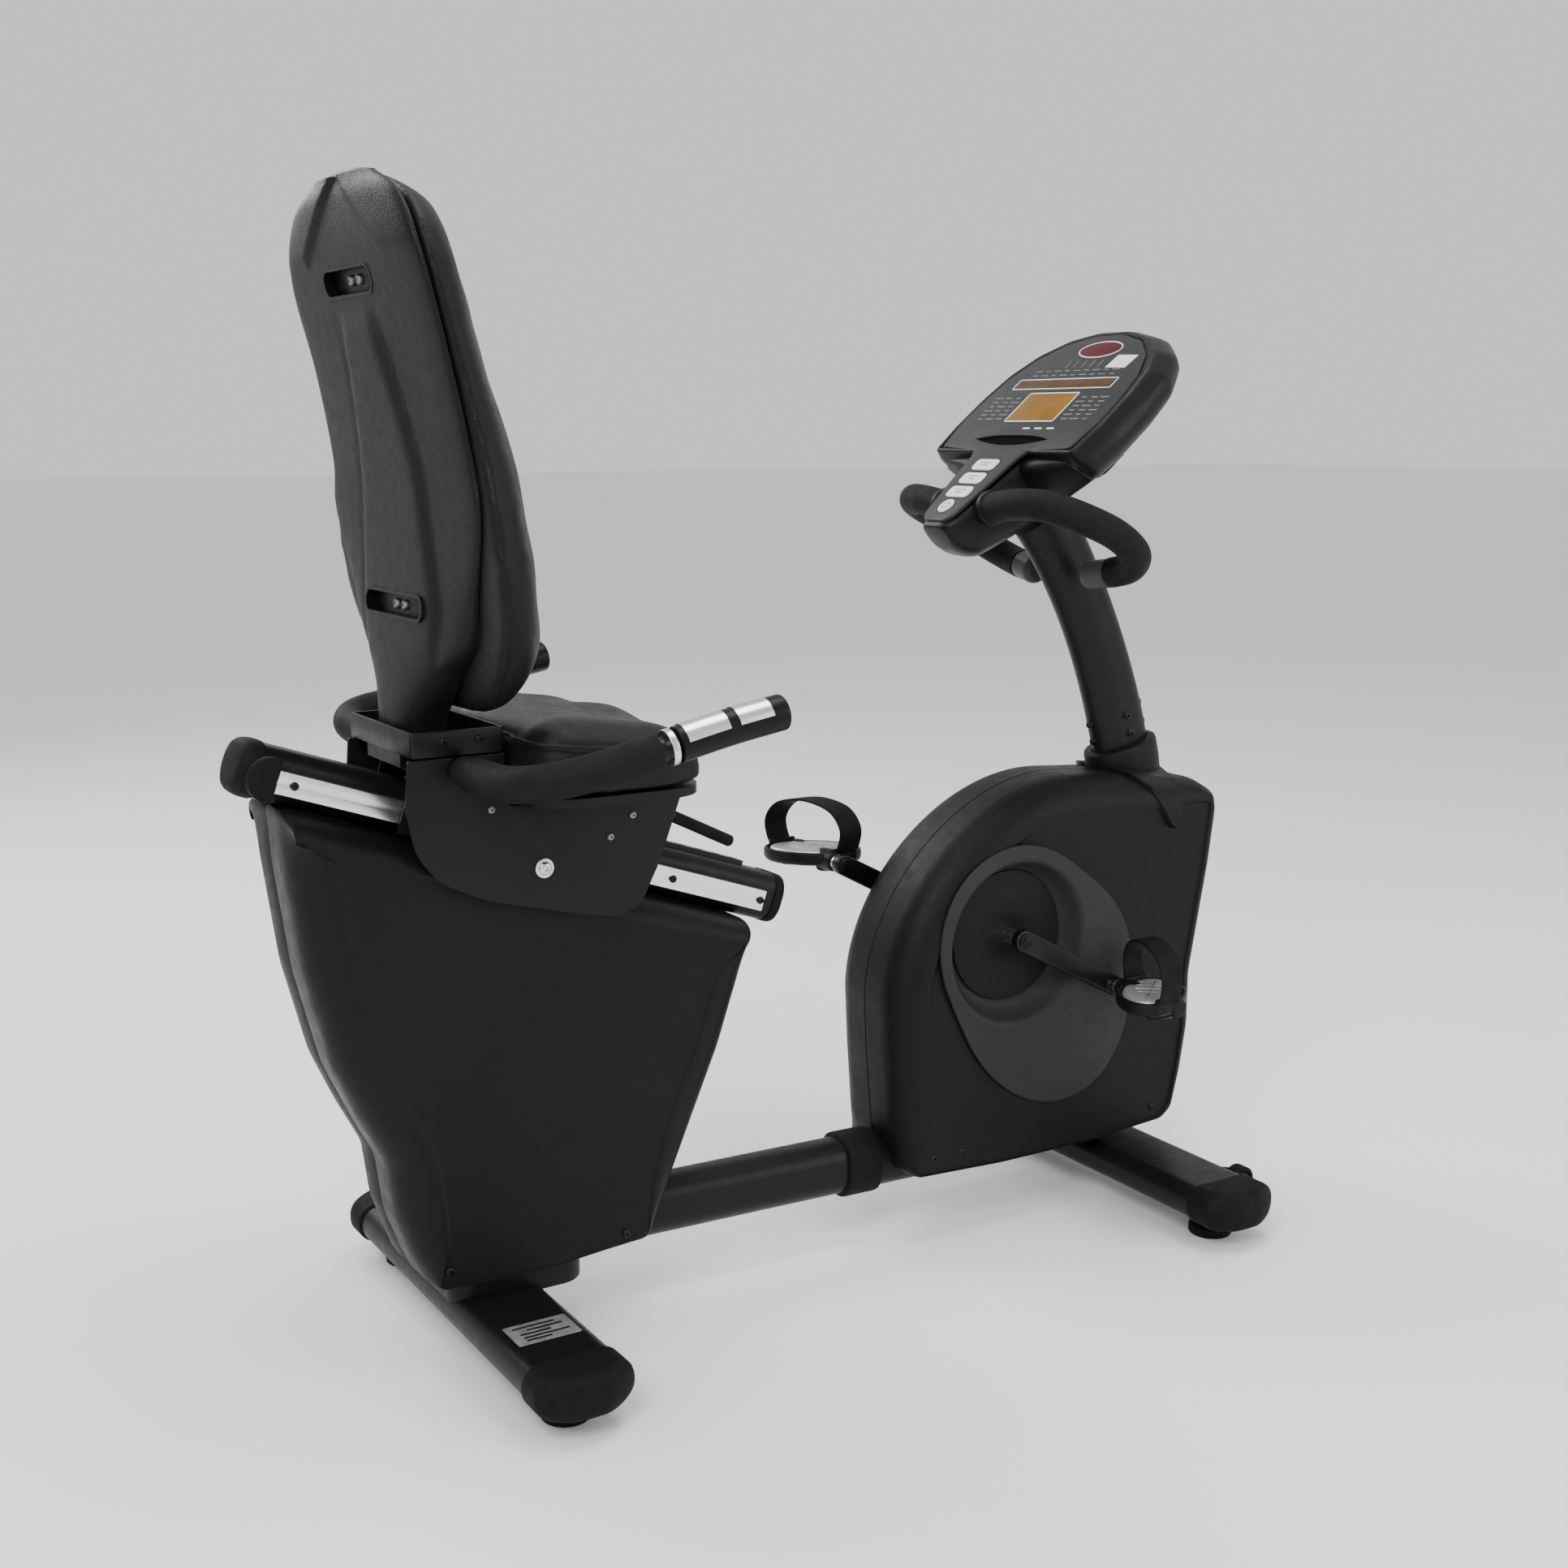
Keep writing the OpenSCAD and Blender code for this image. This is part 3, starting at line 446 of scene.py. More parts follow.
def piece(name, mesh, look, body="base", stands_for=(), angle=40):
    """Makes a mesh piece, smooth but for its sharp edges, and fixes it to its CAD body."""
    data = mesh_data(name, mesh, WELD)
    data.validate()
    data.shade_smooth()
    data.set_sharp_from_angle(angle=math.radians(angle))
    data.materials.append(LOOKS[look])
    obj = bpy.data.objects.new(name, data)
    scene.collection.objects.link(obj)
    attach(obj, body)
    if stands_for:
        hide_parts(*stands_for)
    return obj


def cut_out(obj, tool):
    """Takes the tool mesh out of a piece, for good."""
    data = mesh_data("cutter", tool)
    cutter = bpy.data.objects.new("cutter", data)
    scene.collection.objects.link(cutter)
    cut = obj.modifiers.new("Cut", "BOOLEAN")
    cut.object = cutter
    cut.operation = "DIFFERENCE"
    cut.solver = "EXACT"
    obj.data = applied(obj)
    obj.data.set_sharp_from_angle(angle=math.radians(35))
    bpy.data.objects.remove(cutter)
    bpy.data.meshes.remove(data)


# CAD nodes that stay as they are get their material
KEPT = {
    "rear_post": "frame_black", "mast_post": "frame_black", "lock_rack": "steel_black",
    "console_board": "board_green", "drive_bracket": "steel_black", "crank_bearings": "steel_bright",
    "flywheel": "cast_iron", "idler": "steel_black", "drive_belt": "belt_black", "crank_axle": "steel_bright",
    "drive_pulley": "rubber_black", "carriage_frame": "frame_black", "roller_front": "roller_white",
    "roller_rear": "roller_white", "lock_pin": "steel_bright", "seat_pan": "frame_black",
}
for node, look in KEPT.items():
    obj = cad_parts[node]
    obj.data.materials.clear()
    obj.data.materials.append(LOOKS[look])


# ---------- Base ----------

BEAM_SLOPE = math.radians(1)
FRONT_X = 930
FOOT_Y = 234
WHEEL = (1007, 205, 46)


def beam_ring(u, w, h, r):
    """Section of the main beam at a distance u from its rear end."""
    c, s = math.cos(BEAM_SLOPE), math.sin(BEAM_SLOPE)
    return [(-40 + u * c + z * s, y, 113 - u * s + z * c) for y, z in rounded(w, h, r, 12)]


def stabiliser_rings(x, stops):
    """Rings across a stabiliser, from (y, width, height, corner)."""
    return [[(x + u, y, 52 + v) for u, v in rounded(w, h, r, 12)] for y, w, h, r in stops]


def stabiliser_tube(x):
    return loft(stabiliser_rings(x, [(y, 110, 44, 21) for y in np.linspace(-262, 262, 9)]))


def end_cap(x):
    """Moulded end, round in plan and softly rounded at its top and bottom rims."""
    stops = [(-247, 112, 46, 22), (-248, 115, 49, 23.5), (-249.5, 116, 50, 24)]
    for t in np.linspace(0, 1, 15)[1:]:
        y = 249.5 + 58.5 * math.sin(t * math.pi / 2)
        half = min(58, math.sqrt(max(78**2 - (y - 232) ** 2, 0)))
        high = 25 if y < 294 else 25 - 9 * (1 - math.sqrt(max(0, 1 - ((y - 294) / 14) ** 2)))
        stops.append((-y, 2 * half, 2 * high, min(half, high) * 0.94))
    return loft(stabiliser_rings(x, stops))


def ribbed_foot(x, side):
    rings = []
    for r, z, rib in ((2, 0, 0), (25.5, 0, 0), (27.3, 1, 0.7), (28, 3, 1), (28, 11, 1), (27, 13, 0.7),
                      (23, 15.5, 0), (18, 19, 0), (9.2, 19.4, 0), (9, 25, 0), (5.6, 25.4, 0), (5.5, 50, 0)):
        w = np.arange(96) * 2 * math.pi / 96
        radius = r - 0.9 * rib * (1 + np.cos(w * 24)) / 2
        rings.append(np.column_stack([
            x + radius * np.cos(w), side * FOOT_Y + radius * np.sin(w), np.full(96, z)]))
    return loft(rings)


def base():
    beam = loft([beam_ring(u, 62, 72, 28) for u in np.linspace(0, 915, 30)])
    piece("main_beam_tube", beam, "frame_black", stands_for=["main_beam"])
    rims = [(535, 70, 79), (536, 73, 81.4), (538, 74, 82), (581, 74, 82), (583, 73, 81.4), (584, 69, 78)]
    band = loft([beam_ring(u, w, h, w / 2 - 5) for u, w, h in rims])
    piece("beam_collar_band", band, "rubber_black", stands_for=["beam_collar"])
    saddle = plate(rounded(164, 128, 30), plan(28, 0, 0), 64, 95, edge=2.5)
    rear = merged(stabiliser_tube(0), saddle)
    piece("rear_stabiliser_tube", rear, "frame_black", stands_for=["rear_stabiliser"])
    ears = filleted([(980, 36), (1009, 36), (1018, 46), (1009, 58), (980, 66)], [1, 8, 10, 8, 1])
    brackets = merged(*[plate(ears, upright(y), 0, 4, edge=0.8) for y in (190, 216)],
                      disc(WHEEL, ACROSS, 7, 15, 18.5, 1.2, 24), disc(WHEEL, ACROSS, 4.9, -15, 15, 0.4, 24))
    front = merged(stabiliser_tube(FRONT_X), both_sides(brackets))
    piece("front_stabiliser_tube", front, "frame_black", stands_for=["front_stabiliser"])
    caps = merged(*[both_sides(end_cap(x)) for x in (0, FRONT_X)])
    piece("stabiliser_end_caps", caps, "rubber_black", stands_for=["stabiliser_caps"])
    for end, x in (("rear", 0), ("front", FRONT_X)):
        for hand, side in LEFT_RIGHT:
            node = f"foot_{end}_{hand}"
            piece(f"{node}_pad", ribbed_foot(x, side), "rubber_black", node, [node])
    half_tread = [(5.2, -9), (8, -9), (8.6, -6.5), (14.4, -6.5), (15, -9), (18.6, -9), (20, -7.4),
                  (20, -1), (19.3, -0.5)]
    tread = half_tread + [(r, -h) for r, h in half_tread[::-1]]
    for hand, side in LEFT_RIGHT:
        wheel = turned((WHEEL[0], side * WHEEL[1], WHEEL[2]), tread, 48)
        piece(f"wheel_{hand}_tyre", wheel, "rubber_black", f"wheel_{hand}", [f"wheel_{hand}"])
    piece("rating_plate", plate(rounded(74, 48, 2), plan(0, -176, 0), 73.4, 74.5, 0.3), "label_silver")
    rows = [plate(rounded(w, 3.2, 1), plan(u, -176 + v, 0), 74.3, 74.8, 0.1)
            for u, v, w in ((-4, 15, 50), (6, 7, 42), (-8, -1, 36), (2, -9, 54), (-10, -16, 30))]
    piece("rating_plate_rows", merged(*rows), "frame_black")


# ---------- Shrouds ----------


def under_rail(x):
    return RAIL_MIDDLE[2] - (x - RAIL_MIDDLE[0]) * math.tan(RAIL_TILT) - 29 / math.cos(RAIL_TILT) - 1


# Half widths, and full edge rounding
REAR_HALF, REAR_EDGE = 80, 44
FRONT_HALF, FRONT_EDGE = 78, 46

# Side views as (x, z, share of the full edge rounding there)
REAR_OUTLINE = [
    (-80, 96, 0.1), (60, 96, 0), (186, 96, 0.3), (224, 160, 0.8), (254, 225, 1), (293, 314, 1), (321, 395, 1),
    (337, under_rail(337), 0.6), (200, under_rail(200), 0.7), (60, under_rail(60), 0.7),
    (-80, under_rail(-80), 0.7), (-224, under_rail(-224), 0.6), (-220, 590, 1), (-204, 468, 1),
    (-177, 361, 1), (-150, 300, 1), (-121, 244, 1), (-113, 180, 1), (-96, 130, 0.7)]
FRONT_OUTLINE = (
    [(566, 92, 0.1), (700, 90, 0), (860, 90, 0), (984, 89, 0.25), (1012, 104, 0.4), (1028, 160, 0.45),
     (1040, 225, 0.5), (1040, 300, 0.5), (1053, 370, 0.5), (1068, 450, 0.5), (1078, 525, 0.5),
     (1072, 552, 0.5), (1044, 568, 0.6), (960, 582, 0.9)]
    + [(815 + (278 - b) * math.cos(math.radians(a)), 318 + (274 - b) * math.sin(math.radians(a)), 1)
       for a in range(82, 181, 4) for b in [9 * math.sin(math.radians(1.7 * (a - 78))) ** 2]]
    + [(541, 250, 1), (550, 150, 0.8)])


def shroud_shell(outline, half, edge, face):
    """Half of a shroud: rounded from the joint plane up to its side, then the side's own relief.

    face lists (extra inset, drop below the side) steps that end on a flat panel.
    """
    o = np.array(outline, float)
    k = o[:, 2]
    counts = edge_counts(o[:, :2], 24)

    def ring(y, d):
        return [(u, y, v) for u, v in smooth_outline(inset(o, d), counts=counts)]

    rings = [ring(0.35, 4 + 0 * k), ring(0.35, 0.8 + 0 * k), ring(1.3, 0 * k)]
    for a in np.radians(np.arange(4, 91, 6)):
        rings.append(ring(half - edge + edge * math.sin(a), edge * (1 - math.cos(a)) * k))
    for extra, drop in face:
        rings.append(ring(half - drop, (edge + extra) * k + 0.2 * extra * (1 - k)))
    return loft(rings)


# Middle of the round recess that the crank turns in, and the radius of its lip
RECESS = (722, 0, 386)
LIP_RADIUS = 104


def egg_radius(angle):
    """Distance from the recess middle to the trim's egg outline."""
    circles = ((4, -2, 124), (76, -56, 122), (84, -134, 106), (44, -96, 116))
    ring = np.array([(x - 3 + r * math.cos(w), z + 6 + r * math.sin(w))
                     for x, z, r in circles for w in np.radians(np.arange(0, 360, 3))])
    d = np.array((math.cos(angle), math.sin(angle)))
    # Support lines of the convex outline, seen from its inside
    turns = np.radians(np.arange(0, 360, 2))
    normals = np.column_stack([np.cos(turns), np.sin(turns)])
    reach = (ring @ normals.T).max(axis=0)
    facing = normals @ d
    return float(np.min(reach[facing > 0.05] / facing[facing > 0.05]))


def egg_trim():
    angles = np.radians(np.arange(0, 360, 2.5))
    egg = np.array([egg_radius(a) for a in angles])
    for _ in range(3):
        egg = np.mean([np.roll(egg, k) for k in range(-4, 5)], axis=0)
    # Rings along the egg, then rings round the lip: extra radius, and distance to the side
    on_egg = [(-1, 77.2), (0, 78.5), (0, 80), (-1, 81.4), (-3, 82)]
    on_lip = [(12, 82), (9, 83), (5.5, 83.2), (2.5, 82), (0.4, 79), (-2, 73), (-7, 63), (-10.5, 58),
              (-15, 55.6), (-32, 54.4), (-32, 53), (2, 53), (3, 74), (9, 77.2)]
    stops = [(egg + e, y) for e, y in on_egg] + [(LIP_RADIUS + e, y) for e, y in on_lip]
    return turned(RECESS, stops, len(angles))


def shrouds():
    rear = shroud_shell(REAR_OUTLINE, REAR_HALF, REAR_EDGE, [(1.5, 0), (3, 0.6), (4.5, 1.4), (7.5, 1.4)])
    relief = [(1.2, 0), (2.4, 0.6), (3.4, 2), (4.6, 2.8), (8, 2.8)]
    front = shroud_shell(FRONT_OUTLINE, FRONT_HALF, FRONT_EDGE, relief)
    recess = disc(RECESS, ACROSS, LIP_RADIUS + 4, 26, 100, 1, 96)
    # merged() of one mesh leaves it as it is
    for hand, flip in (("left", merged), ("right", mirrored)):
        for end, shell in (("rear", rear), ("front", front)):
            obj = piece(f"{end}_shroud_{hand}_shell", flip(shell), "shroud_black",
                        stands_for=[f"{end}_shroud_{hand}"], angle=50)
        cut_out(obj, flip(recess))
    trims = both_sides(egg_trim())
    piece("crank_recess_trims", trims, "trim_charcoal", stands_for=["shroud_trims"], angle=50)
    heads = [screw((x, y, z), ACROSS, 5, 2.2) for x, y, z in (
        (152, REAR_HALF, 116), (-66, REAR_HALF, 120), (596, 75, 116), (966, 75, 116), (640, 75, 116))]
    piece("shroud_screws", both_sides(*heads), "steel_black")


# ---------- Mast ----------

MAST = np.array([(930, 0, 132), (1050, 0, 420), (940, 0, 760), (806, 0, 930)], float)


def mast_path(start, end, n):
    t = np.linspace(start, end, n)[:, None]
    shares = ((1 - t) ** 3, 3 * t * (1 - t) ** 2, 3 * t**2 * (1 - t), t**3)
    return sum(point * share for point, share in zip(MAST, shares))


def mast():
    waist = 44 - 2.5 * np.sin(np.pi * np.clip((np.linspace(0.46, 1, 40) - 0.6) / 0.4, 0, 1))
    tube = sweep(mast_path(0.46, 1, 40), ACROSS, waist, 26, sides=56)
    piece("mast_tube", tube, "frame_black", stands_for=["mast"])
    stops = [(0.440, 52, 40), (0.480, 54, 41.4), (0.520, 55, 42), (0.546, 54.6, 41.8), (0.5505, 53.6, 40.6),
             (0.5525, 51, 38), (0.5530, 45, 27.4), (0.548, 44.4, 26.6)]
    collar = loft([sweep(mast_path(t - 0.002, t + 0.002, 2), ACROSS, a, b, sides=64)[0][:64]
                   for t, a, b in stops])
    low = sweep(mast_path(0.44, 0.50, 6), ACROSS, 52, 40, sides=48)[0]
    drape = ((915, 40, 590), (1004, 40, 578), (925, 57, 586), (1003, 57, 572), (945, 75, 568),
             (1001, 75, 554), (965, 82.5, 537), (997, 82.5, 532), (979, 82.5, 514), (988, 82.5, 508))
    tip = [(x, side * y, z) for x, y, z in drape for side in (-1, 1)]
    skirt = merged(collar, hull_of(np.vstack([low, tip])))
    piece("mast_collar_skirt", skirt, "shroud_black", stands_for=["mast_collar"], angle=30)
    heads = []
    for t in (0.57, 0.6):
        at = mast_path(t, t + 0.001, 2)[0]
        ahead = unit(mast_path(t, t + 0.01, 2)[1] - at)
        front = np.cross(ACROSS, ahead)
        side = np.array(ACROSS)
        for normal, reach in ((side, 25.8), (-side, 25.8), (front, 43.6), (-front, 43.6)):
            heads.append(disc(at + normal * reach, normal, 6.4, -0.5, 1.2, 0.5, 24))
            heads.append(screw(at + normal * (reach + 1), normal, 4.6, 3.4))
    heads.append(both_sides(*[screw(rail(u, 45, -4), ACROSS, 4.6, 2) for u in (-290, 178, 303)]))
    piece("frame_screw_heads", merged(*heads), "steel_black", stands_for=["frame_screws"])


BAR_POINTS = [(690, -24, 938), (690, -95, 947), (704, -138, 946), (738, -162, 933), (790, -168, 911),
              (832, -156, 886), (852, -126, 867), (852, -92, 858), (846, -58, 853)]


def front_handlebar():
    half = curve(BAR_POINTS, 9)
    foam = half[:-9]
    path = np.vstack([foam[::-1] * (1, -1, 1), foam])
    bar = sweep(path, UP, 19.5, sides=44, dome=(1, 1))
    piece("front_handlebar_foam", bar, "foam_black", stands_for=["front_handlebar"])
    cap = sweep(half[-9:], UP, 18.9, sides=44, dome=(1, 9))
    piece("front_handlebar_caps", both_sides(cap), "cap_grey")
    rings = [disc((690, y, 941), (0, y / 44, 0.12), 22.5, 0, 9, 3, 48) for y in (-44, 44)]
    piece("front_handlebar_bosses", merged(*rings), "console_black")


# ---------- Console ----------

# Widths, and places up the slope (and across) of the slot, the displays and the keys
CONSOLE_WIDTH = 292
FACE_WIDTH = 274
SLOT_S = -62
SCREEN_AT, BAR_AT, BADGE_AT = (1, 0), (48, 0), (117, -8)
KEYS_S = (-113, -139, -165)
ROUND_KEY_S = -192

# Half of the face: distance up the slope, and share of the width
CONSOLE_HALF = [(156, 0.1), (142, 0.26), (112, 0.39), (70, 0.47), (20, 0.5), (-40, 0.505), (-88, 0.5)]


def face_at(s, y):
    """Drawing plane on the console's face, with its origin moved."""
    return lambda u, v, w: console(u + s, v + y, w)


def console_outline():
    half = [(s, f * CONSOLE_WIDTH) for s, f in CONSOLE_HALF]
    low = half[-1][0]
    half[-1] = (low, half[-1][1] - 4)
    return smooth_outline(whole(half + [(low, 60)]), 22, 2)


def console_body():
    # Rings of the housing from its back to its face: height, growth, shift up the slope
    stops = [(-63, -60, 12), (-62.6, -40, 12), (-61, -22, 13), (-57, -9, 14), (-51, -1, 14), (-43, 5, 14),
             (-34, 8, 13.5), (-26, 8.5, 12), (-19, 7, 9), (-12, 4, 6), (-7, 1.5, 4), (-3.5, -0.5, 2),
             (-1, -2.6, 1), (-0.2, -5, 0.6), (-0.8, -7.5, 0), (-3, -8.4, 0), (-4, -30, 0)]
    outline = console_outline()
    body = loft([[console(s + shift, y, n) for s, y in inset(outline, -grow)] for n, grow, shift in stops])
    neck = []
    for s in np.concatenate([np.linspace(-84, -200, 18), -226 + 26 * (1 - np.sin(np.linspace(0, 1.5, 9)))]):
        f = np.clip((-s - 84) / 130, 0, 1)
        end = np.sqrt(max(0.02, 1 - max(0, (-s - 200) / 26.2) ** 2))
        wide = (53 - 17 * f) * (0.5 + 0.5 * end)
        full = 98 - 30 * f**1.4
        deep = full * (0.35 + 0.65 * end)
        middle = -2.5 - full * 0.47
        middle += (-2.5 - deep / 2 - middle) * (1 - (1 - end) * 0.35)
        a = (np.arange(56) + 0.5) * 2 * math.pi / 56
        c, v = np.cos(a), np.sin(a)
        taper = np.where(v < 0, 1 - 0.22 * np.abs(v) ** 2, 1)
        across = wide * np.sign(c) * np.abs(c) ** 0.55 * taper
        out = middle + deep / 2 * np.sign(v) * np.abs(v) ** np.where(v > 0, 0.42, 0.75)
        neck.append([console(s, y, n) for y, n in zip(across, out)])
    housing = merged(body, loft(neck))
    piece("console_body", housing, "console_black", stands_for=["console_back"], angle=50)
    chin = [(-86, 126, -13), (-87, 138, -28), (-80, 140, -50), (-48, 128, -61), (30, 70, -61), (-90, 54, -8),
            (-106, 47, -14), (-112, 44, -60), (-96, 38, -92), (-60, 38, -98), (0, 40, -76)]
    hull = hull_of([console(s, side * y, n) for s, y, n in chin for side in (-1, 1)])
    fairing = piece("console_chin", hull, "console_black", angle=50)
    bevel = fairing.modifiers.new("Bevel", "BEVEL")
    bevel.width = 0.006
    bevel.segments = 4
    bevel.angle_limit = math.radians(18)
    half = [(s - 9 * np.sign(s), f * FACE_WIDTH) for s, f in CONSOLE_HALF]
    half[-1] = (-78, 130)
    half += [(-82, 76), (-84, 55), (-98, 48), (-150, 40.5), (-206, 31), (-218, 20)]
    outline = smooth_outline(whole(half), 14, 2)
    sheet = plate(outline, console, -3.5, 0, edge=0.9, both=False)
    face = piece("console_face_plate", sheet, "console_face", stands_for=["console_face"])
    across = np.linspace(-1, 1, 25)
    slot = [(8 * (1 - abs(a) ** 3), 74 * a) for a in across]
    slot += [(-12 * (1 - a**2), 74 * a) for a in across[-2:0:-1]]
    cut_out(face, plate(slot, face_at(SLOT_S, 0), -6, 3, 0.1))
    # Sheet in painted shade at the slot's bottom, so the slot shows as a dark hollow
    piece("console_slot_shade_sheet", plate(rounded(28, 156, 8), face_at(SLOT_S, 0), -3.9, -3.3, 0.2), "painted_shade_black")


def console_prints():
    def mark(w, h, r, s, y):
        return plate(rounded(w, h, r, 4), face_at(s, y), -0.2, 0.25, 0.05, 1)

    lcd = plate(rounded(54, 96, 2), face_at(*SCREEN_AT), -1.5, 0.3, 0.3)
    piece("display_screen", lcd, "display_amber", stands_for=["displays"])
    piece("display_bar", plate(rounded(18, 194, 2), face_at(*BAR_AT), -1.5, 0.3, 0.3), "display_brown")
    lines = [border(outline, width, face_at(s, y), -0.2, 0.5) for outline, width, s, y in (
        (rounded(58, 100, 3), 1.8, *SCREEN_AT), (rounded(21, 197, 3), 1.6, *BAR_AT),
        (oval(17, 41, n=56), 1.8, *BADGE_AT))]
    lines += [plate(rounded(3, 14, 1.2), face_at(-41, y), -0.2, 0.3, 0.1) for y in (-58, -34, -10)]
    piece("console_lines", merged(*lines), "print_white")
    piece("console_badge", plate(oval(15, 39, n=56), face_at(*BADGE_AT), -0.2, 0.6, 0.4), "badge_red")
    tag = plate(filleted([(-13, -20), (12, -24), (14, 15), (-11, 19)], 1), face_at(90, -70), -0.2, 0.35, 0.1)
    piece("console_tag", tag, "print_white")
    marks = [mark(2.2, (12, 17, 9)[(row + column) % 3], 0.9, -22 + 8.4 * row, side * (66 + 20 * column))
             for side in (-1, 1) for row in range(6) for column in range(3)]
    marks += [mark(1.8, 10 + 4 * ((row + column) % 2), 0.8, 66 + 9 * row, 19 * column)
              for row in range(2) for column in range(-4, 5)]
    marks += [mark(14, 1.4, 0.6, 88, 14 + 16 * column) for column in range(-3, 2)]
    piece("console_marks", merged(*marks), "print_grey")
    # Keys: the cap's outline, the print on it, and the ring round it
    keys = [(s, rounded(20.5, 45, 7),
             merged(*[plate(rounded(1.6, w, 0.7, 4), face_at(s + u, 0), 1.7, 2.15, 0.05, 1)
                      for u, w in ((2.6, 22), (-2.2, 14))]),
             border(rounded(23.5, 48, 8.5), 1.4, face_at(s, 0), -0.3, 0.25)) for s in KEYS_S]
    keys.append((ROUND_KEY_S, oval(12, 12, n=48),
                 border(oval(6, 6, n=32), 1.4, face_at(ROUND_KEY_S, 0), 1.7, 2.15),
                 border(oval(13.6, 13.6, n=48), 1.3, face_at(ROUND_KEY_S, 0), -0.3, 0.25)))
    for i, (s, outline, print_, _) in enumerate(keys, 1):
        cap = plate(outline, face_at(s, 0), -0.9, 2, 1.6, 5, both=False)
        piece(f"key_{i}_cap", cap, "key_white", f"key_{i}", [f"key_{i}"])
        piece(f"key_{i}_print", print_, "print_grey", f"key_{i}")
    piece("key_surrounds", merged(*[key[3] for key in keys]), "grip_black")


# ---------- Cranks and pedals ----------


def crank_frame(turn, side):
    """Frame of a crank arm: u along it, v across in the arm's plane, w out to the rider's side."""
    angle = -(CRANK_ANGLE + turn)
    c, s = math.cos(angle), math.sin(angle)
    return lambda u, v, w: (CRANK[0] + u * c - v * s, side * w, CRANK[2] + u * s + v * c)


def crank_arm(place, side):
    """One arm with its hub and eye, its bolt cap, and its pedal spindle."""
    outline = [(14.5 * math.cos(t), 14.5 * math.sin(t)) for t in np.radians(np.arange(84, 277, 8))]
    outline += [(CRANK_RADIUS + 13.5 * math.cos(t), 13.5 * math.sin(t))
                for t in np.radians(np.arange(-84, 85, 8))]
    arm = plate(outline, place, 87, 101, edge=3.2, steps=5)
    middle, end, out = place(0, 0, 0), place(CRANK_RADIUS, 0, 0), (0, side, 0)
    hub = disc(middle, out, 10.5, 100, 104, 1.5)
    eye = disc(end, out, 9, 84.5, 103.5, 1.2)
    cap = lathe([(0, 103), (8.6, 103), (8.2, 105.4), (5, 106.6), (0, 107)], middle, out)
    pin = [(0, 102), (10, 102), (10, 108), (7, 109), (6, 111), (6, 211), (5, 212), (0, 212)]
    return merged(arm, hub, eye), cap, lathe(pin, end, out)


def cranks():
    arms, caps, pins = zip(*[crank_arm(crank_frame(turn, side), side)
                             for turn, side in ((0, -1), (math.pi, 1))])
    piece("crank_arm_pair", merged(*arms), "steel_black", "crank", ["crank_arms"])
    piece("crank_bolt_caps", merged(*caps), "grip_black", "crank")
    piece("pedal_spindles", merged(*pins), "steel_bright", "crank")
    dish = [(10.2, 56), (82, 56), (85, 56.6), (86, 58), (85.4, 59.6), (83, 60.2), (60, 60.2), (56, 61.2),
            (24, 61.2), (21, 60.4), (10.2, 60.4)]
    discs = both_sides(turned(CRANK, dish, 96))
    piece("crank_cover_discs", discs, "shroud_black", "crank", ["crank_discs"])


STRAP = [(47, 6), (57, 19), (60, 44), (41, 67), (0, 75.5), (-41, 67), (-60, 44), (-57, 19), (-47, 6)]


def pedals():
    for hand, side in LEFT_RIGHT:
        place = crank_frame(math.pi if side > 0 else 0, side)
        x, y, z = place(CRANK_RADIUS, 0, PEDAL_Y)
        body = f"pedal_{hand}"

        def here(u, v, w, x=x, y=y, z=z, side=side):
            return (x + u, y + side * v, z + w)

        def along_sole(d):
            return lambda u, v, w: here(u - 0.35 * d, v + d, w)

        o = oval(66, 45, math.radians(-40))
        tray = [(30, -9), (14, -8.6), (5, -7), (1.6, -4), (0, 0), (0, 7), (0.7, 9.4), (2.4, 10.4), (5, 10.4),
                (6.6, 9.2), (7, 6), (9, 5.2), (30, 5.2)]
        parts = [stepped(o, here, tray)]
        waist = [13, 14, 15, 14, 12, 12, 12, 12, 14, 15, 14, 12]
        axis = [here(0, v, 0) for v in np.linspace(-56, 52, 12)]
        parts.append(sweep(axis, UP, waist, sides=36, dome=(3, 3)))
        parts += [plate(oval(22, 15, n=40), along_sole(d), -16, -6, 5, 5) for d in (-30, 30)]
        parts += [plate(rounded(40, 7, 3), along_sole(d), -5, 16, 1.5) for d in (-50, 50)]
        piece(f"{body}_tray", merged(*parts), "pedal_black", body, [body])
        crown = [(8.2, 5), (8.4, 8), (9.4, 9.8), (12, 11.2), (17, 12.4), (24, 13.1), (33, 13.4)]
        piece(f"{body}_plate", stepped(o, here, crown), "pedal_plate", body)
        c, s = math.cos(math.radians(50)), math.sin(math.radians(50))
        ribs = []
        for row in range(-2, 3):
            long = 22 - 3.5 * abs(row)
            rib = filleted([(-long, -1.6), (long, -1.6), (long, 1.6), (-long, 1.6)], 1.2, 4)
            turned = [(15.3 * row * c + a * s, -15.3 * row * s + a * c + b) for a, b in rib]
            ribs.append(plate(turned, here, 11, 13.9 - 0.25 * abs(row), 0.5))
        piece(f"{body}_ribs", merged(*ribs), "pedal_plate", body)
        path = curve([here(-0.35 * p, p, w) for p, w in STRAP], 7)
        piece(f"{body}_strap", sweep(path, AHEAD, 1.8, 17, sides=28, power=0.4), "rubber_black", body)
        reflector = plate(rounded(26, 7, 2), lambda u, v, w: here(u, 39 + w, v - 2), 0, 2.2, 0.6)
        piece(f"{body}_reflector", reflector, "print_white", body)


# ---------- Rail ----------


def rail_section(w, h, r, u):
    return [rail(u, y, z) for y, z in rounded(w, h, r, 12)]


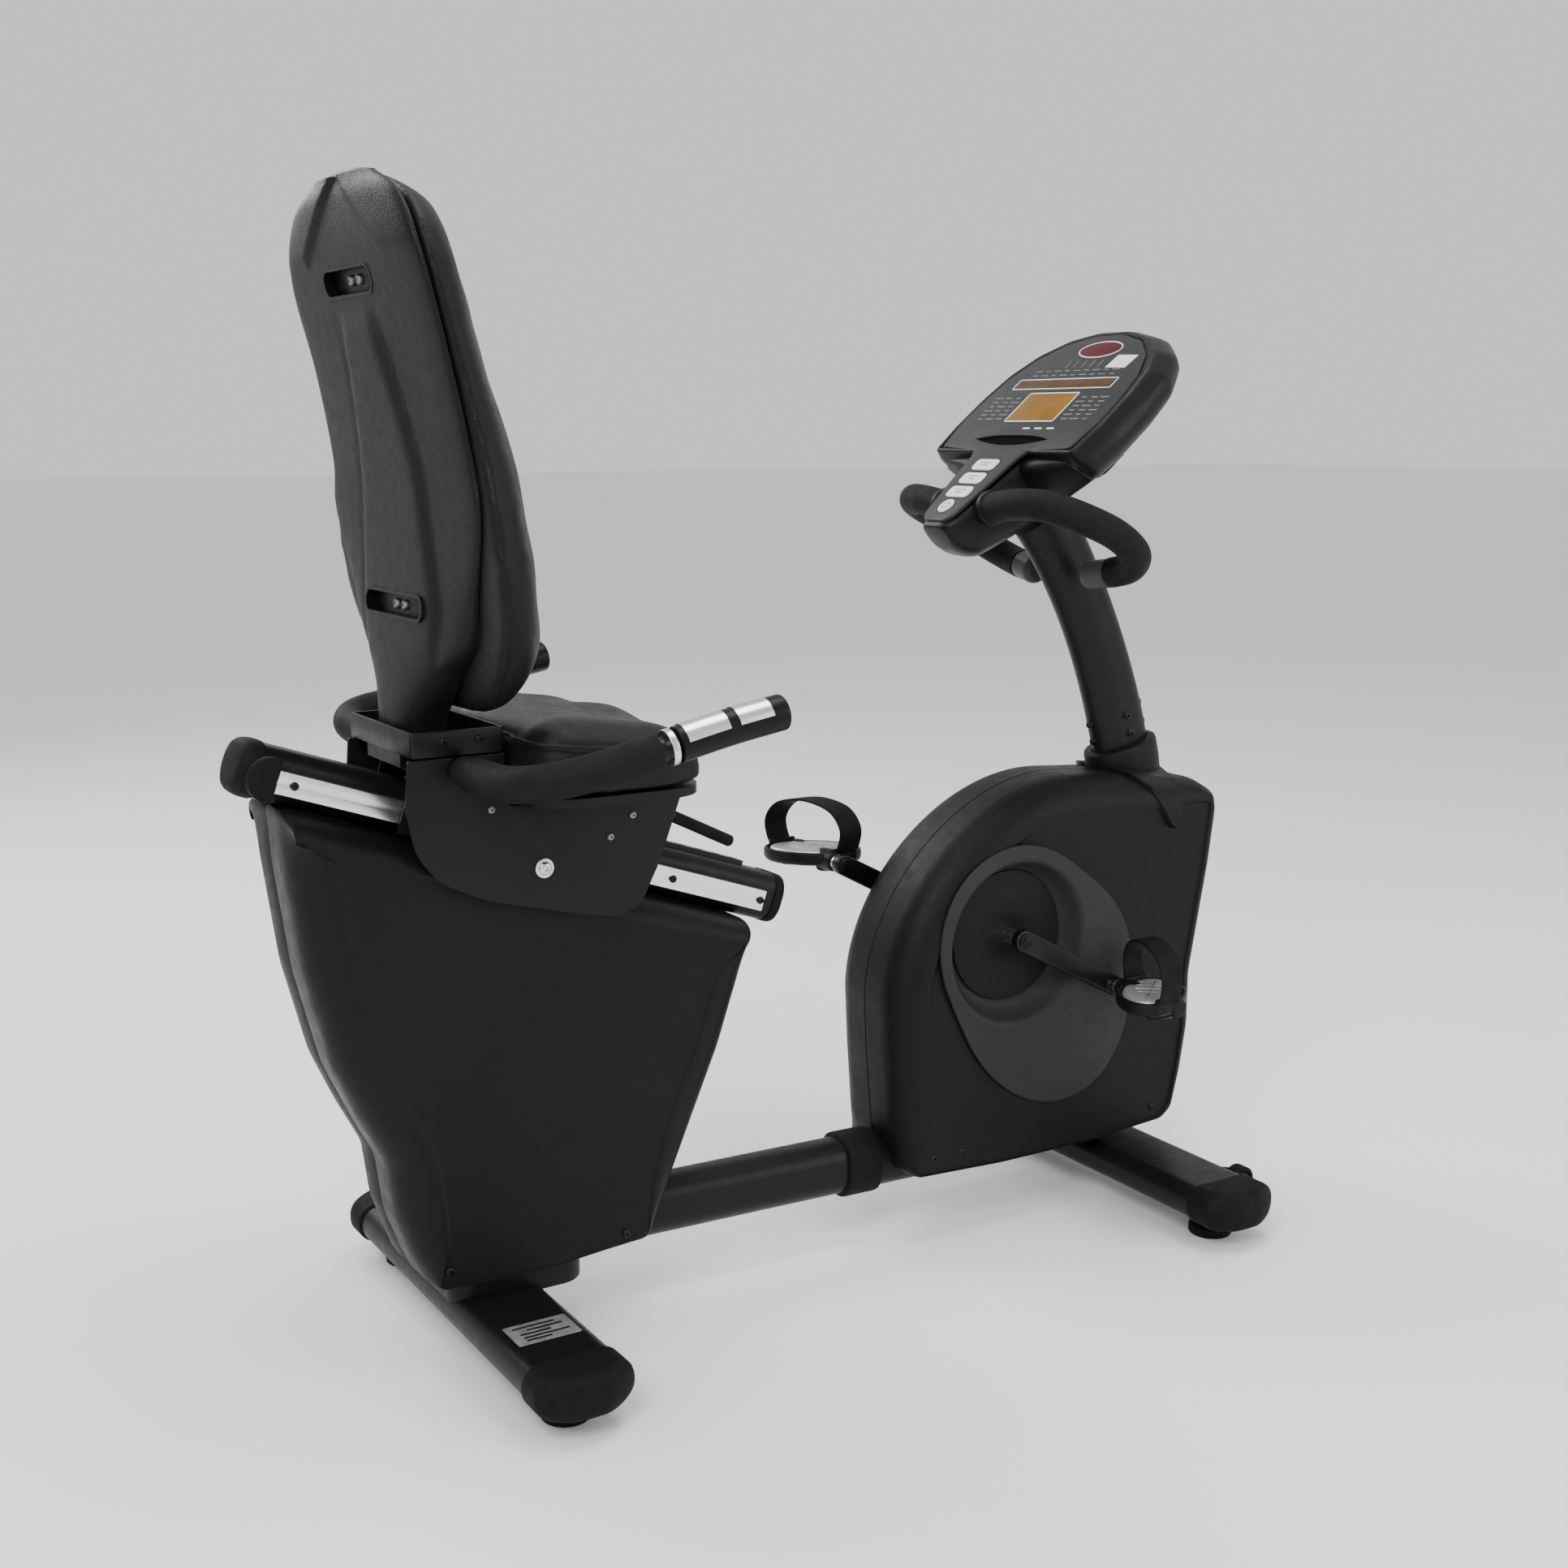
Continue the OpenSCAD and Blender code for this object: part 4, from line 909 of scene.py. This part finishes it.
def seat_rail():
    tube = loft([rail_section(72, 58, 20, u) for u in np.linspace(-324, 326, 12)])
    piece("seat_rail_tube", tube, "frame_black", stands_for=["seat_rail"])
    profile = [(36, -16.5), (45, -16.5), (45, -6), (43.8, -6), (43.8, -2), (45, -2), (45, 8.5), (36, 8.5)]
    profile = filleted(profile, [0.2, 1.4, 0.5, 0.3, 0.3, 0.5, 1.4, 0.2], 4)
    strip = loft([[rail(u, y, z) for y, z in inset(profile, d)] for u, d in (
        (-309, 0.5), (-308.5, 0), (308.5, 0), (309, 0.5))])
    piece("rail_running_strips", both_sides(strip), "aluminium_rail", stands_for=["rail_strips"], angle=30)
    rear = [(-323.8, 74, 60), (-324.4, 76, 62), (-332, 76, 62), (-338, 74.4, 60.4), (-343, 70.6, 56.6),
            (-346.4, 64, 50), (-348, 54, 41), (-348.6, 40, 28), (-348.8, 18, 10)]
    front = [(325.8, 74, 58), (326.4, 76, 60), (335, 76, 60), (338, 74.6, 58.6), (339.6, 71, 55),
             (340.2, 60, 44)]
    caps = [loft([rail_section(w, h, min(30, h / 2 - 0.5), u) for u, w, h in rear]),
            loft([rail_section(w, h, min(22, h / 2 - 0.5), u) for u, w, h in front])]
    arc = [(-317 + 24 * math.cos(t), -4 + 24 * math.sin(t)) for t in np.radians(np.arange(71, 290, 6))]
    ring = plate(np.array(arc), lambda u, v, w: rail(u, w, v), 36, 48, 2)
    piece("rail_end_covers", merged(*caps, both_sides(ring)), "rubber_black", stands_for=["rail_end_caps"])


# ---------- Seat ----------

HANDLE = [(-45, -60, 686), (-45, -150, 686), (-48, -226, 690), (-36, -266, 695), (-12, -284, 700),
          (30, -288, 707), (100, -291, 723), (170, -294, 739), (236, -296, 751)]
SPACERS = ((52, 567), (-8, 638), (133, 593))
LEVER_AXIS = (118, 628)


def partial_sleeve(path, r, thick, start, end, n=14):
    """Curved plate that lies on a round bar between two angles."""
    angles = np.radians(np.linspace(start, end, n))
    rings = []
    for c, t in zip(path, headings(path)):
        s = unit(np.cross(UP, t))
        u = np.cross(t, s)
        arcs = [(w, r + thick) for w in angles] + [(w, r) for w in angles[::-1]]
        rings.append([c + (s * math.cos(w) + u * math.sin(w)) * reach for w, reach in arcs])
    return loft(rings)


def seat_frame():
    outline = [(-100, 698), (-104, 645), (-94, 596), (-68, 563), (-16, 538), (60, 518), (139, 500),
               (170, 510), (196, 560), (226, 640), (10, 640), (10, 698)]
    sheet = filleted(outline, [3, 60, 60, 60, 120, 150, 14, 22, 60, 4, 10, 3], 6)
    covers = both_sides(plate(sheet, upright(90), 0, 4, 1.2))
    piece("carriage_cover_plates", covers, "frame_black", "seat", ["side_plates"])
    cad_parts["carriage_frame"].modifiers.new("Bevel", "BEVEL").width = 0.0008
    tray = filleted([(-96, -94), (9, -94), (9, 94), (-96, 94)], 5, 6)
    walls = stepped(tray, plan(0, 0, 0), (
        (0.8, 700), (0, 701), (0, 726), (0.6, 727), (3.4, 727), (4, 726.4), (4, 704), (30, 704)))
    stays = [plate(rounded(6, 8, 1.2, 4), plan(-46, y, 0), 702, 810, 0.6) for y in (-26, 26)]
    ears = [screw((x, -94, 716), (0, -1, 0), 4, 2.4) for x in (-60, -20)]
    piece("backrest_bracket_tray", merged(walls, *stays), "frame_black", "seat", ["backrest_bracket"])
    piece("backrest_bracket_screws", both_sides(*ears), "steel_black", "seat")
    x, z = SPACERS[0]
    heads = [disc((x, 94, z), ACROSS, 11, 0, 2, 0.7), screw((x, 96, z), ACROSS, 7.5, 4)]
    piece("seat_screw_heads", both_sides(*heads), "steel_bright", "seat", ["seat_screws"])
    heads = [screw((x, 94, z), ACROSS, 4.2, 2.4) for x, z in SPACERS[1:] + ((161, 615),)]
    piece("seat_small_screw_heads", both_sides(*heads), "cast_iron", "seat")
    x, z = LEVER_AXIS
    lever = curve([(x, -70, z), (160, -70, 626), (206, -70, 611), (298, -70, 566)], 8)
    rod = [sweep(lever, ACROSS, 6, sides=28, dome=(3, 3)), disc((x, 0, z), ACROSS, 6, -86, 12, 1),
           disc((x, 0, z), ACROSS, 11, -76, -64, 1.5)]
    rod += [sweep([(x, y, z), (145, y, 614), (170, y, 601)], ACROSS, 2.6, sides=16, dome=(0, 1.5))
            for y in (-9.5, 9.5)]
    piece("seat_lever_rod", merged(*rod), "steel_black", "seat_lever", ["seat_lever"])
    grip = sweep(lever[18:], ACROSS, 7, sides=28, dome=(2, 4))
    piece("seat_lever_grip", grip, "rubber_black", "seat_lever")


def seat_handles():
    half = curve(HANDLE, 12)
    path = np.vstack([half[::-1] * (1, -1, 1), half])
    bar = sweep(path, UP, 12.5, sides=36)
    piece("seat_handlebar_tube", bar, "steel_black", "seat", ["seat_handlebar"])
    foam = half[7:71]
    swell = 19 - 2.5 * np.exp(-np.arange(len(foam)) / 1.5)
    sleeves = both_sides(sweep(foam, UP, swell, sides=44, dome=(1, 2)))
    piece("handlebar_foam_sleeves", sleeves, "foam_black", "seat", ["handlebar_foam"])
    grip = half[74:96]
    grips = both_sides(sweep(grip, UP, 19.4, sides=48, dome=(1, 4)))
    piece("pulse_grip_bodies", grips, "grip_black", "seat", ["pulse_grips"])
    plates = [sweep(half[72:74], UP, 19.3, sides=48, dome=(0.8, 0.8))]
    plates += [partial_sleeve(grip[a:b], 19.2, 1.0, 25, 170) for a, b in ((1, 10), (11, 19))]
    piece("pulse_plates", both_sides(*plates), "steel_bright", "seat")


# ---------- Padding ----------


def cover_cloth(obj, pressure):
    settings = obj.modifiers.new("Cloth", "CLOTH").settings
    settings.quality = 6
    settings.mass = 0.3
    settings.tension_stiffness = settings.compression_stiffness = 12
    settings.shear_stiffness = 6
    settings.bending_stiffness = 1.5
    settings.use_pressure = True
    settings.uniform_pressure_force = pressure
    settings.effector_weights.gravity = 0
    settings.vertex_group_mass = "held"


def coordinates(data):
    flat = np.empty(len(data.vertices) * 3)
    data.vertices.foreach_get("co", flat)
    return flat.reshape(-1, 3)


def stuffed(name, mesh, look, node, voxel, held, cap, sculpt, smooth):
    """Cushion from a closed form: its cover is blown up by cloth simulation, then sculpted.

    held() says where the cover is held, and cap is how far it may rise, in millimetres.
    """
    obj = piece(name, mesh, look, "seat", [node])
    remesh = obj.modifiers.new("Remesh", "REMESH")
    remesh.mode = "VOXEL"
    remesh.voxel_size = voxel / 1000
    remesh.use_smooth_shade = True
    data = obj.data = applied(obj)
    start = coordinates(data)
    group = obj.vertex_groups.new(name="held")
    for i, w in enumerate(held(start * 1000 + (MID_X, 0, 0))):
        if w > 0:
            group.add([i], float(w), "REPLACE")
    cover_cloth(obj, 4.0)
    for number in range(1, CLOTH_FRAMES + 1):
        scene.frame_set(number)
    blown = applied(obj)
    step = coordinates(blown) - start
    obj.vertex_groups.clear()
    bpy.data.meshes.remove(blown)
    scene.frame_set(1)
    far = np.linalg.norm(step, axis=1, keepdims=True)
    start = start + step * np.minimum(1, cap / 1000 / np.maximum(far, 1e-9))
    edges = np.empty(len(data.edges) * 2, int)
    data.edges.foreach_get("vertices", edges)
    a, b = edges.reshape(-1, 2).T
    count = np.bincount(np.concatenate([a, b]), minlength=len(start))[:, None]
    for _ in range(smooth):
        total = np.zeros_like(start)
        np.add.at(total, a, start[b])
        np.add.at(total, b, start[a])
        start = 0.5 * start + 0.5 * total / count
    final = sculpt(start * 1000 + (MID_X, 0, 0))
    data.vertices.foreach_set("co", metres(final).ravel())
    data.update()
    data.shade_smooth()
    subdivision = obj.modifiers.new("Subdivision", "SUBSURF")
    subdivision.levels = subdivision.render_levels = 1
    return obj


CLOTH_FRAMES = 20
# Middle of the seat cushion, and the height of the welt round it there
SEAT_MID_X = 116
WELT_Z = 706


def bell(x, width):
    return np.exp(-((x / width) ** 2))


def seat_outline(shrink):
    """Plan of the seat cushion: rounded corners, and a hollow for the backrest's foot at its rear."""
    half = [(226, 40), (226, 122), (214, 172), (176, 188), (110, 188), (46, 186), (12, 168), (6, 112),
            (14, 98), (14, 60)]
    return inset(smooth_outline(whole(half), 26, 2), shrink)


def seat_drop(x):
    """How far the top of the seat cushion falls towards the front."""
    return 0.1 * (x - SEAT_MID_X)


def seat_cushion():
    stops = [(14, 657), (5, 657), (2, 660), (3, 676), (4, 700), (9, 714), (18, 723), (34, 728), (60, 730)]
    rings = [[(x, y, z - (seat_drop(x) if z > 690 else 0)) for x, y in seat_outline(shrink)]
             for shrink, z in stops]

    def held(p):
        return np.clip((668 - p[:, 2]) / 8, 0, 1)

    def sculpt(p):
        x, y, z = p.T
        top = np.clip((z - 700) / 14, 0, 1)
        front = np.clip((x - 90) / 110, 0, 1)
        z = z - top * front * (8 * bell(np.abs(y) - 92, 60) - 4 * bell(y, 44))
        z = z - top * 4 * bell(x - 90, 80) * bell(y, 130)
        rim = bell(z - WELT_Z + seat_drop(x), 2.6)
        away = np.column_stack([x - SEAT_MID_X, y * 0.6])
        away = away / np.maximum(np.linalg.norm(away, axis=1, keepdims=True), 1)
        x = x - 2.2 * rim * away[:, 0]
        y = y - 2.2 * rim * away[:, 1]
        return np.column_stack([x, y, z])

    obj = stuffed("seat_cushion_pad", loft(rings), "leather_seat", "seat_cushion", 5, held, 4, sculpt, 40)
    welt = np.array([(x, y, WELT_Z - seat_drop(x)) for x, y in seat_outline(3.4)])
    piece("seat_cushion_welt", ring_cord(welt, 1.9), "leather_seat", "seat")


def ring_cord(path, r, sides=10):
    """Thin round cord on a closed, nearly level path."""
    w = np.arange(sides) * 2 * math.pi / sides
    rings = []
    for c, t in zip(path, unit(np.roll(path, -1, axis=0) - np.roll(path, 1, axis=0))):
        s = unit(np.cross(UP, t))
        rings.append(c + r * (np.outer(np.cos(w), s) + np.outer(np.sin(w), np.cross(t, s))))
    return loft(rings, closed=True)


# Levels of the backrest: height, half width, back, seam, front
BACK_LEVELS = np.array([
    (742, 110, -68, -38, 0), (770, 160, -58, -37, 28), (800, 196, -53, -40, 36), (854, 222, -59, -48, 28),
    (950, 226, -70, -59, 11), (1005, 214, -74, -62, 4), (1100, 200, -91, -80, -18),
    (1200, 196, -115, -104, -51), (1262, 157, -121, -110, -64), (1292, 84, -119, -109, -86)], float)


def seam_at(z):
    return np.interp(z, BACK_LEVELS[:, 0], BACK_LEVELS[:, 3])


def half_oval(z, w, start, end, n=37):
    a = np.radians(np.linspace(-90, 90, n)) * (1 if end > start else -1)
    return np.column_stack([
        start + (end - start) * np.abs(np.cos(a)) ** 0.55,
        w * np.sign(a) * np.abs(np.sin(a)) ** 0.8,
        np.full(n, z)])


# The shell's foot is a narrow neck that stands in the bracket's tray
SHELL_FOOT = [(704, 52, -88, -42, 0), (742, 64, -86, -40, 0), (780, 96, -80, -38, 0), (820, 150, -72, -42, 0),
              (870, 192, -68, -50, 0)]


def panel_shown(z):
    """Share of the middle panel's relief at a height: none at the neck and at the head."""
    return np.interp(z, (760, 840, 1130, 1165), (0, 1, 1, 0))


def backrest_shell():
    outline = np.vstack([SHELL_FOOT, BACK_LEVELS[4:]])
    outline[4:, 1] -= np.interp(outline[4:, 0], (950, 1100, 1200), (16, 2, 0))
    levels = curve(outline, 12)
    rings = []
    for z, w, back, seam, _ in levels:
        ring = half_oval(z, w, seam, back, 73)
        y = np.abs(ring[:, 1])
        depth = np.clip((seam - ring[:, 0]) / max(seam - back, 1), 0, 1) ** 2
        # Raised middle panel between two upright creases, narrow at the top and wide in the middle
        middle = np.interp(z, (700, 780, 850, 1000, 1165, 1292), (70, 90, 108, 84, 44, 30))
        crease = bell(y - middle - 5, 8) * depth
        panel = 1 / (1 + np.exp((y - middle) / 5)) * depth
        ring[:, 0] += (3 * crease - 6 * panel) * panel_shown(z)
        # Head wings: the cover is wrapped over the back of both upper corners
        edge = np.interp(z, (1200, 1218, 1292), (118, 104, 8))
        wing = 1 / (1 + np.exp((edge - y) / 1.2)) * depth / (1 + math.exp((1212 - z) / 1.5))
        ring[:, 0] -= 5 * wing
        rings.append(ring)
    z, w, back, seam, _ = levels[-1]
    middle = (back + seam) / 2
    for k in (0.8, 0.5, 0.2):
        rings.append(half_oval(z + 6 * (1 - k**2), w * k, middle + (seam - middle) * k,
                               middle + (back - middle) * k, 73))
    obj = piece("backrest_shell_cover", loft(rings), "leather_back", "seat", ["backrest_shell"], angle=55)
    for name, z, long, high in (("upper", 1188, 140, 27), ("lower", 854, 165, 24)):
        lower, back, upper = np.interp((z - 20, z, z + 20), outline[:, 0], outline[:, 2]) - 6 * panel_shown(z)
        tilt = math.atan2(upper - lower, 40)

        def slot_place(u, v, w, z=z, back=back, s=math.sin(tilt), c=math.cos(tilt)):
            return (back + v * s - w * c, u, z + v * c + w * s)

        cut_out(obj, plate(rounded(long, high, high / 2 - 0.2, 10), slot_place, -14, 12, 1))
        rim = border(rounded(long + 5, high + 5, high / 2 + 2.2, 10), 3.4, slot_place, -9, 0.7)
        floor = plate(rounded(long - 1, high - 1, high / 2 - 0.8, 10), slot_place, -14, -11, 0.5)
        outward = np.subtract(slot_place(0, 0, 1), slot_place(0, 0, 0))
        bolts = merged(*[screw(slot_place(u, 0, -11), outward, 6, 5) for u in (-12, 12)])
        for part, mesh, look in (("rim", rim, "grip_black"), ("floor", floor, "grip_black"),
                                 ("bolts", bolts, "cast_iron")):
            piece(f"backrest_slot_{name}_{part}", mesh, look, "seat")


def backrest_cushion():
    levels = np.vstack([(742, 114, 0, -34, 4), (757, 154, 0, -35, 20), BACK_LEVELS[2:]])
    rings = []
    for z, w, _, seam, front in curve(levels, 6):
        wide = w + np.interp(z, (760, 900, 1100), (6, 14, 8))
        rings.append(half_oval(z, wide, seam + 1, front, 41))

    def held(p):
        return np.clip((seam_at(p[:, 2]) + 9 - p[:, 0]) / 6, 0, 1)

    def sculpt(p):
        x, y, z = p.T
        depth = np.clip((x - seam_at(z) - 10) / 22, 0, 1)
        # Sewn panels: two upright channels, and two across at the lumbar and the head
        lines = np.interp(z, (760, 900, 1150, 1290), (84, 104, 96, 60))
        channel = bell(np.abs(y) - lines, 5)
        across = (bell(z - 1128, 5) + bell(z - 905, 5)) / (1 + np.exp((np.abs(y) - lines) / 3))
        x = x - depth * (5 * np.maximum(channel, np.clip(across, 0, 1)))
        x = x + depth * 4 * bell(z - 850, 70) * bell(y, 130)
        # Head wings stand forward of the middle
        wing = np.clip((np.abs(y) - 80) / 60, 0, 1) * np.clip((z - 1140) / 60, 0, 1)
        x = x + depth * 7 * wing
        return np.column_stack([x, y, z])

    obj = stuffed("backrest_cushion_pad", loft(rings), "leather_back", "backrest_cushion",
                  5, held, 6, sculpt, 30)


# ---------- Stage ----------


def stage():
    floor_data = bpy.data.meshes.new("floor")
    floor_data.from_pydata([(-40, -40, 0), (40, -40, 0), (40, 40, 0), (-40, 40, 0)], [], [(0, 1, 2, 3)])
    floor = bpy.data.objects.new("floor", floor_data)
    scene.collection.objects.link(floor)
    mat = bpy.data.materials.new("floor_pale")
    mat.use_nodes = True
    fill(mat.node_tree.nodes["Principled BSDF"], {"Base Color": (0.86, 0.86, 0.86, 1), "Roughness": 0.85})
    floor_data.materials.append(mat)
    world = bpy.data.worlds.new("studio")
    scene.world = world
    world.use_nodes = True
    fill(world.node_tree.nodes["Background"], {"Color": (0.95, 0.96, 0.97, 1), "Strength": 0.9})
    for name, at, aim, size, power in (
        ("key", (-2.6, -2.4, 3.2), (0, 0, 0.6), 1.8, 130),
        ("front_fill", (2.4, -3.0, 1.8), (0.2, 0, 0.5), 2.2, 60),
        ("rim", (-1.0, 3.0, 2.8), (0, 0, 0.8), 2.0, 90),
        ("top", (0.4, -0.2, 3.6), (0.1, 0, 0.5), 1.6, 60),
    ):
        data = bpy.data.lights.new(name, "AREA")
        data.size = size
        data.energy = power
        lamp = bpy.data.objects.new(name, data)
        lamp.location = at
        direction = np.subtract(aim, at)
        flat = math.hypot(direction[0], direction[1])
        lamp.rotation_euler = (math.pi / 2 + math.atan2(direction[2], flat), 0,
                               math.atan2(direction[1], direction[0]) - math.pi / 2)
        scene.collection.objects.link(lamp)
    # The photograph's viewing angle, fitted
    camera_data = bpy.data.cameras.new("camera")
    camera_data.lens = 44.72
    camera_data.sensor_width = 36
    camera = bpy.data.objects.new("camera", camera_data)
    camera.location = (-1.2124, -1.9999, 1.04)
    camera.rotation_euler = (math.radians(79.63), 0, math.radians(-31.51))
    scene.collection.objects.link(camera)
    scene.camera = camera


base()
shrouds()
mast()
front_handlebar()
console_body()
console_prints()
cranks()
pedals()
seat_rail()
seat_frame()
seat_handles()
seat_cushion()
backrest_shell()
backrest_cushion()
stage()
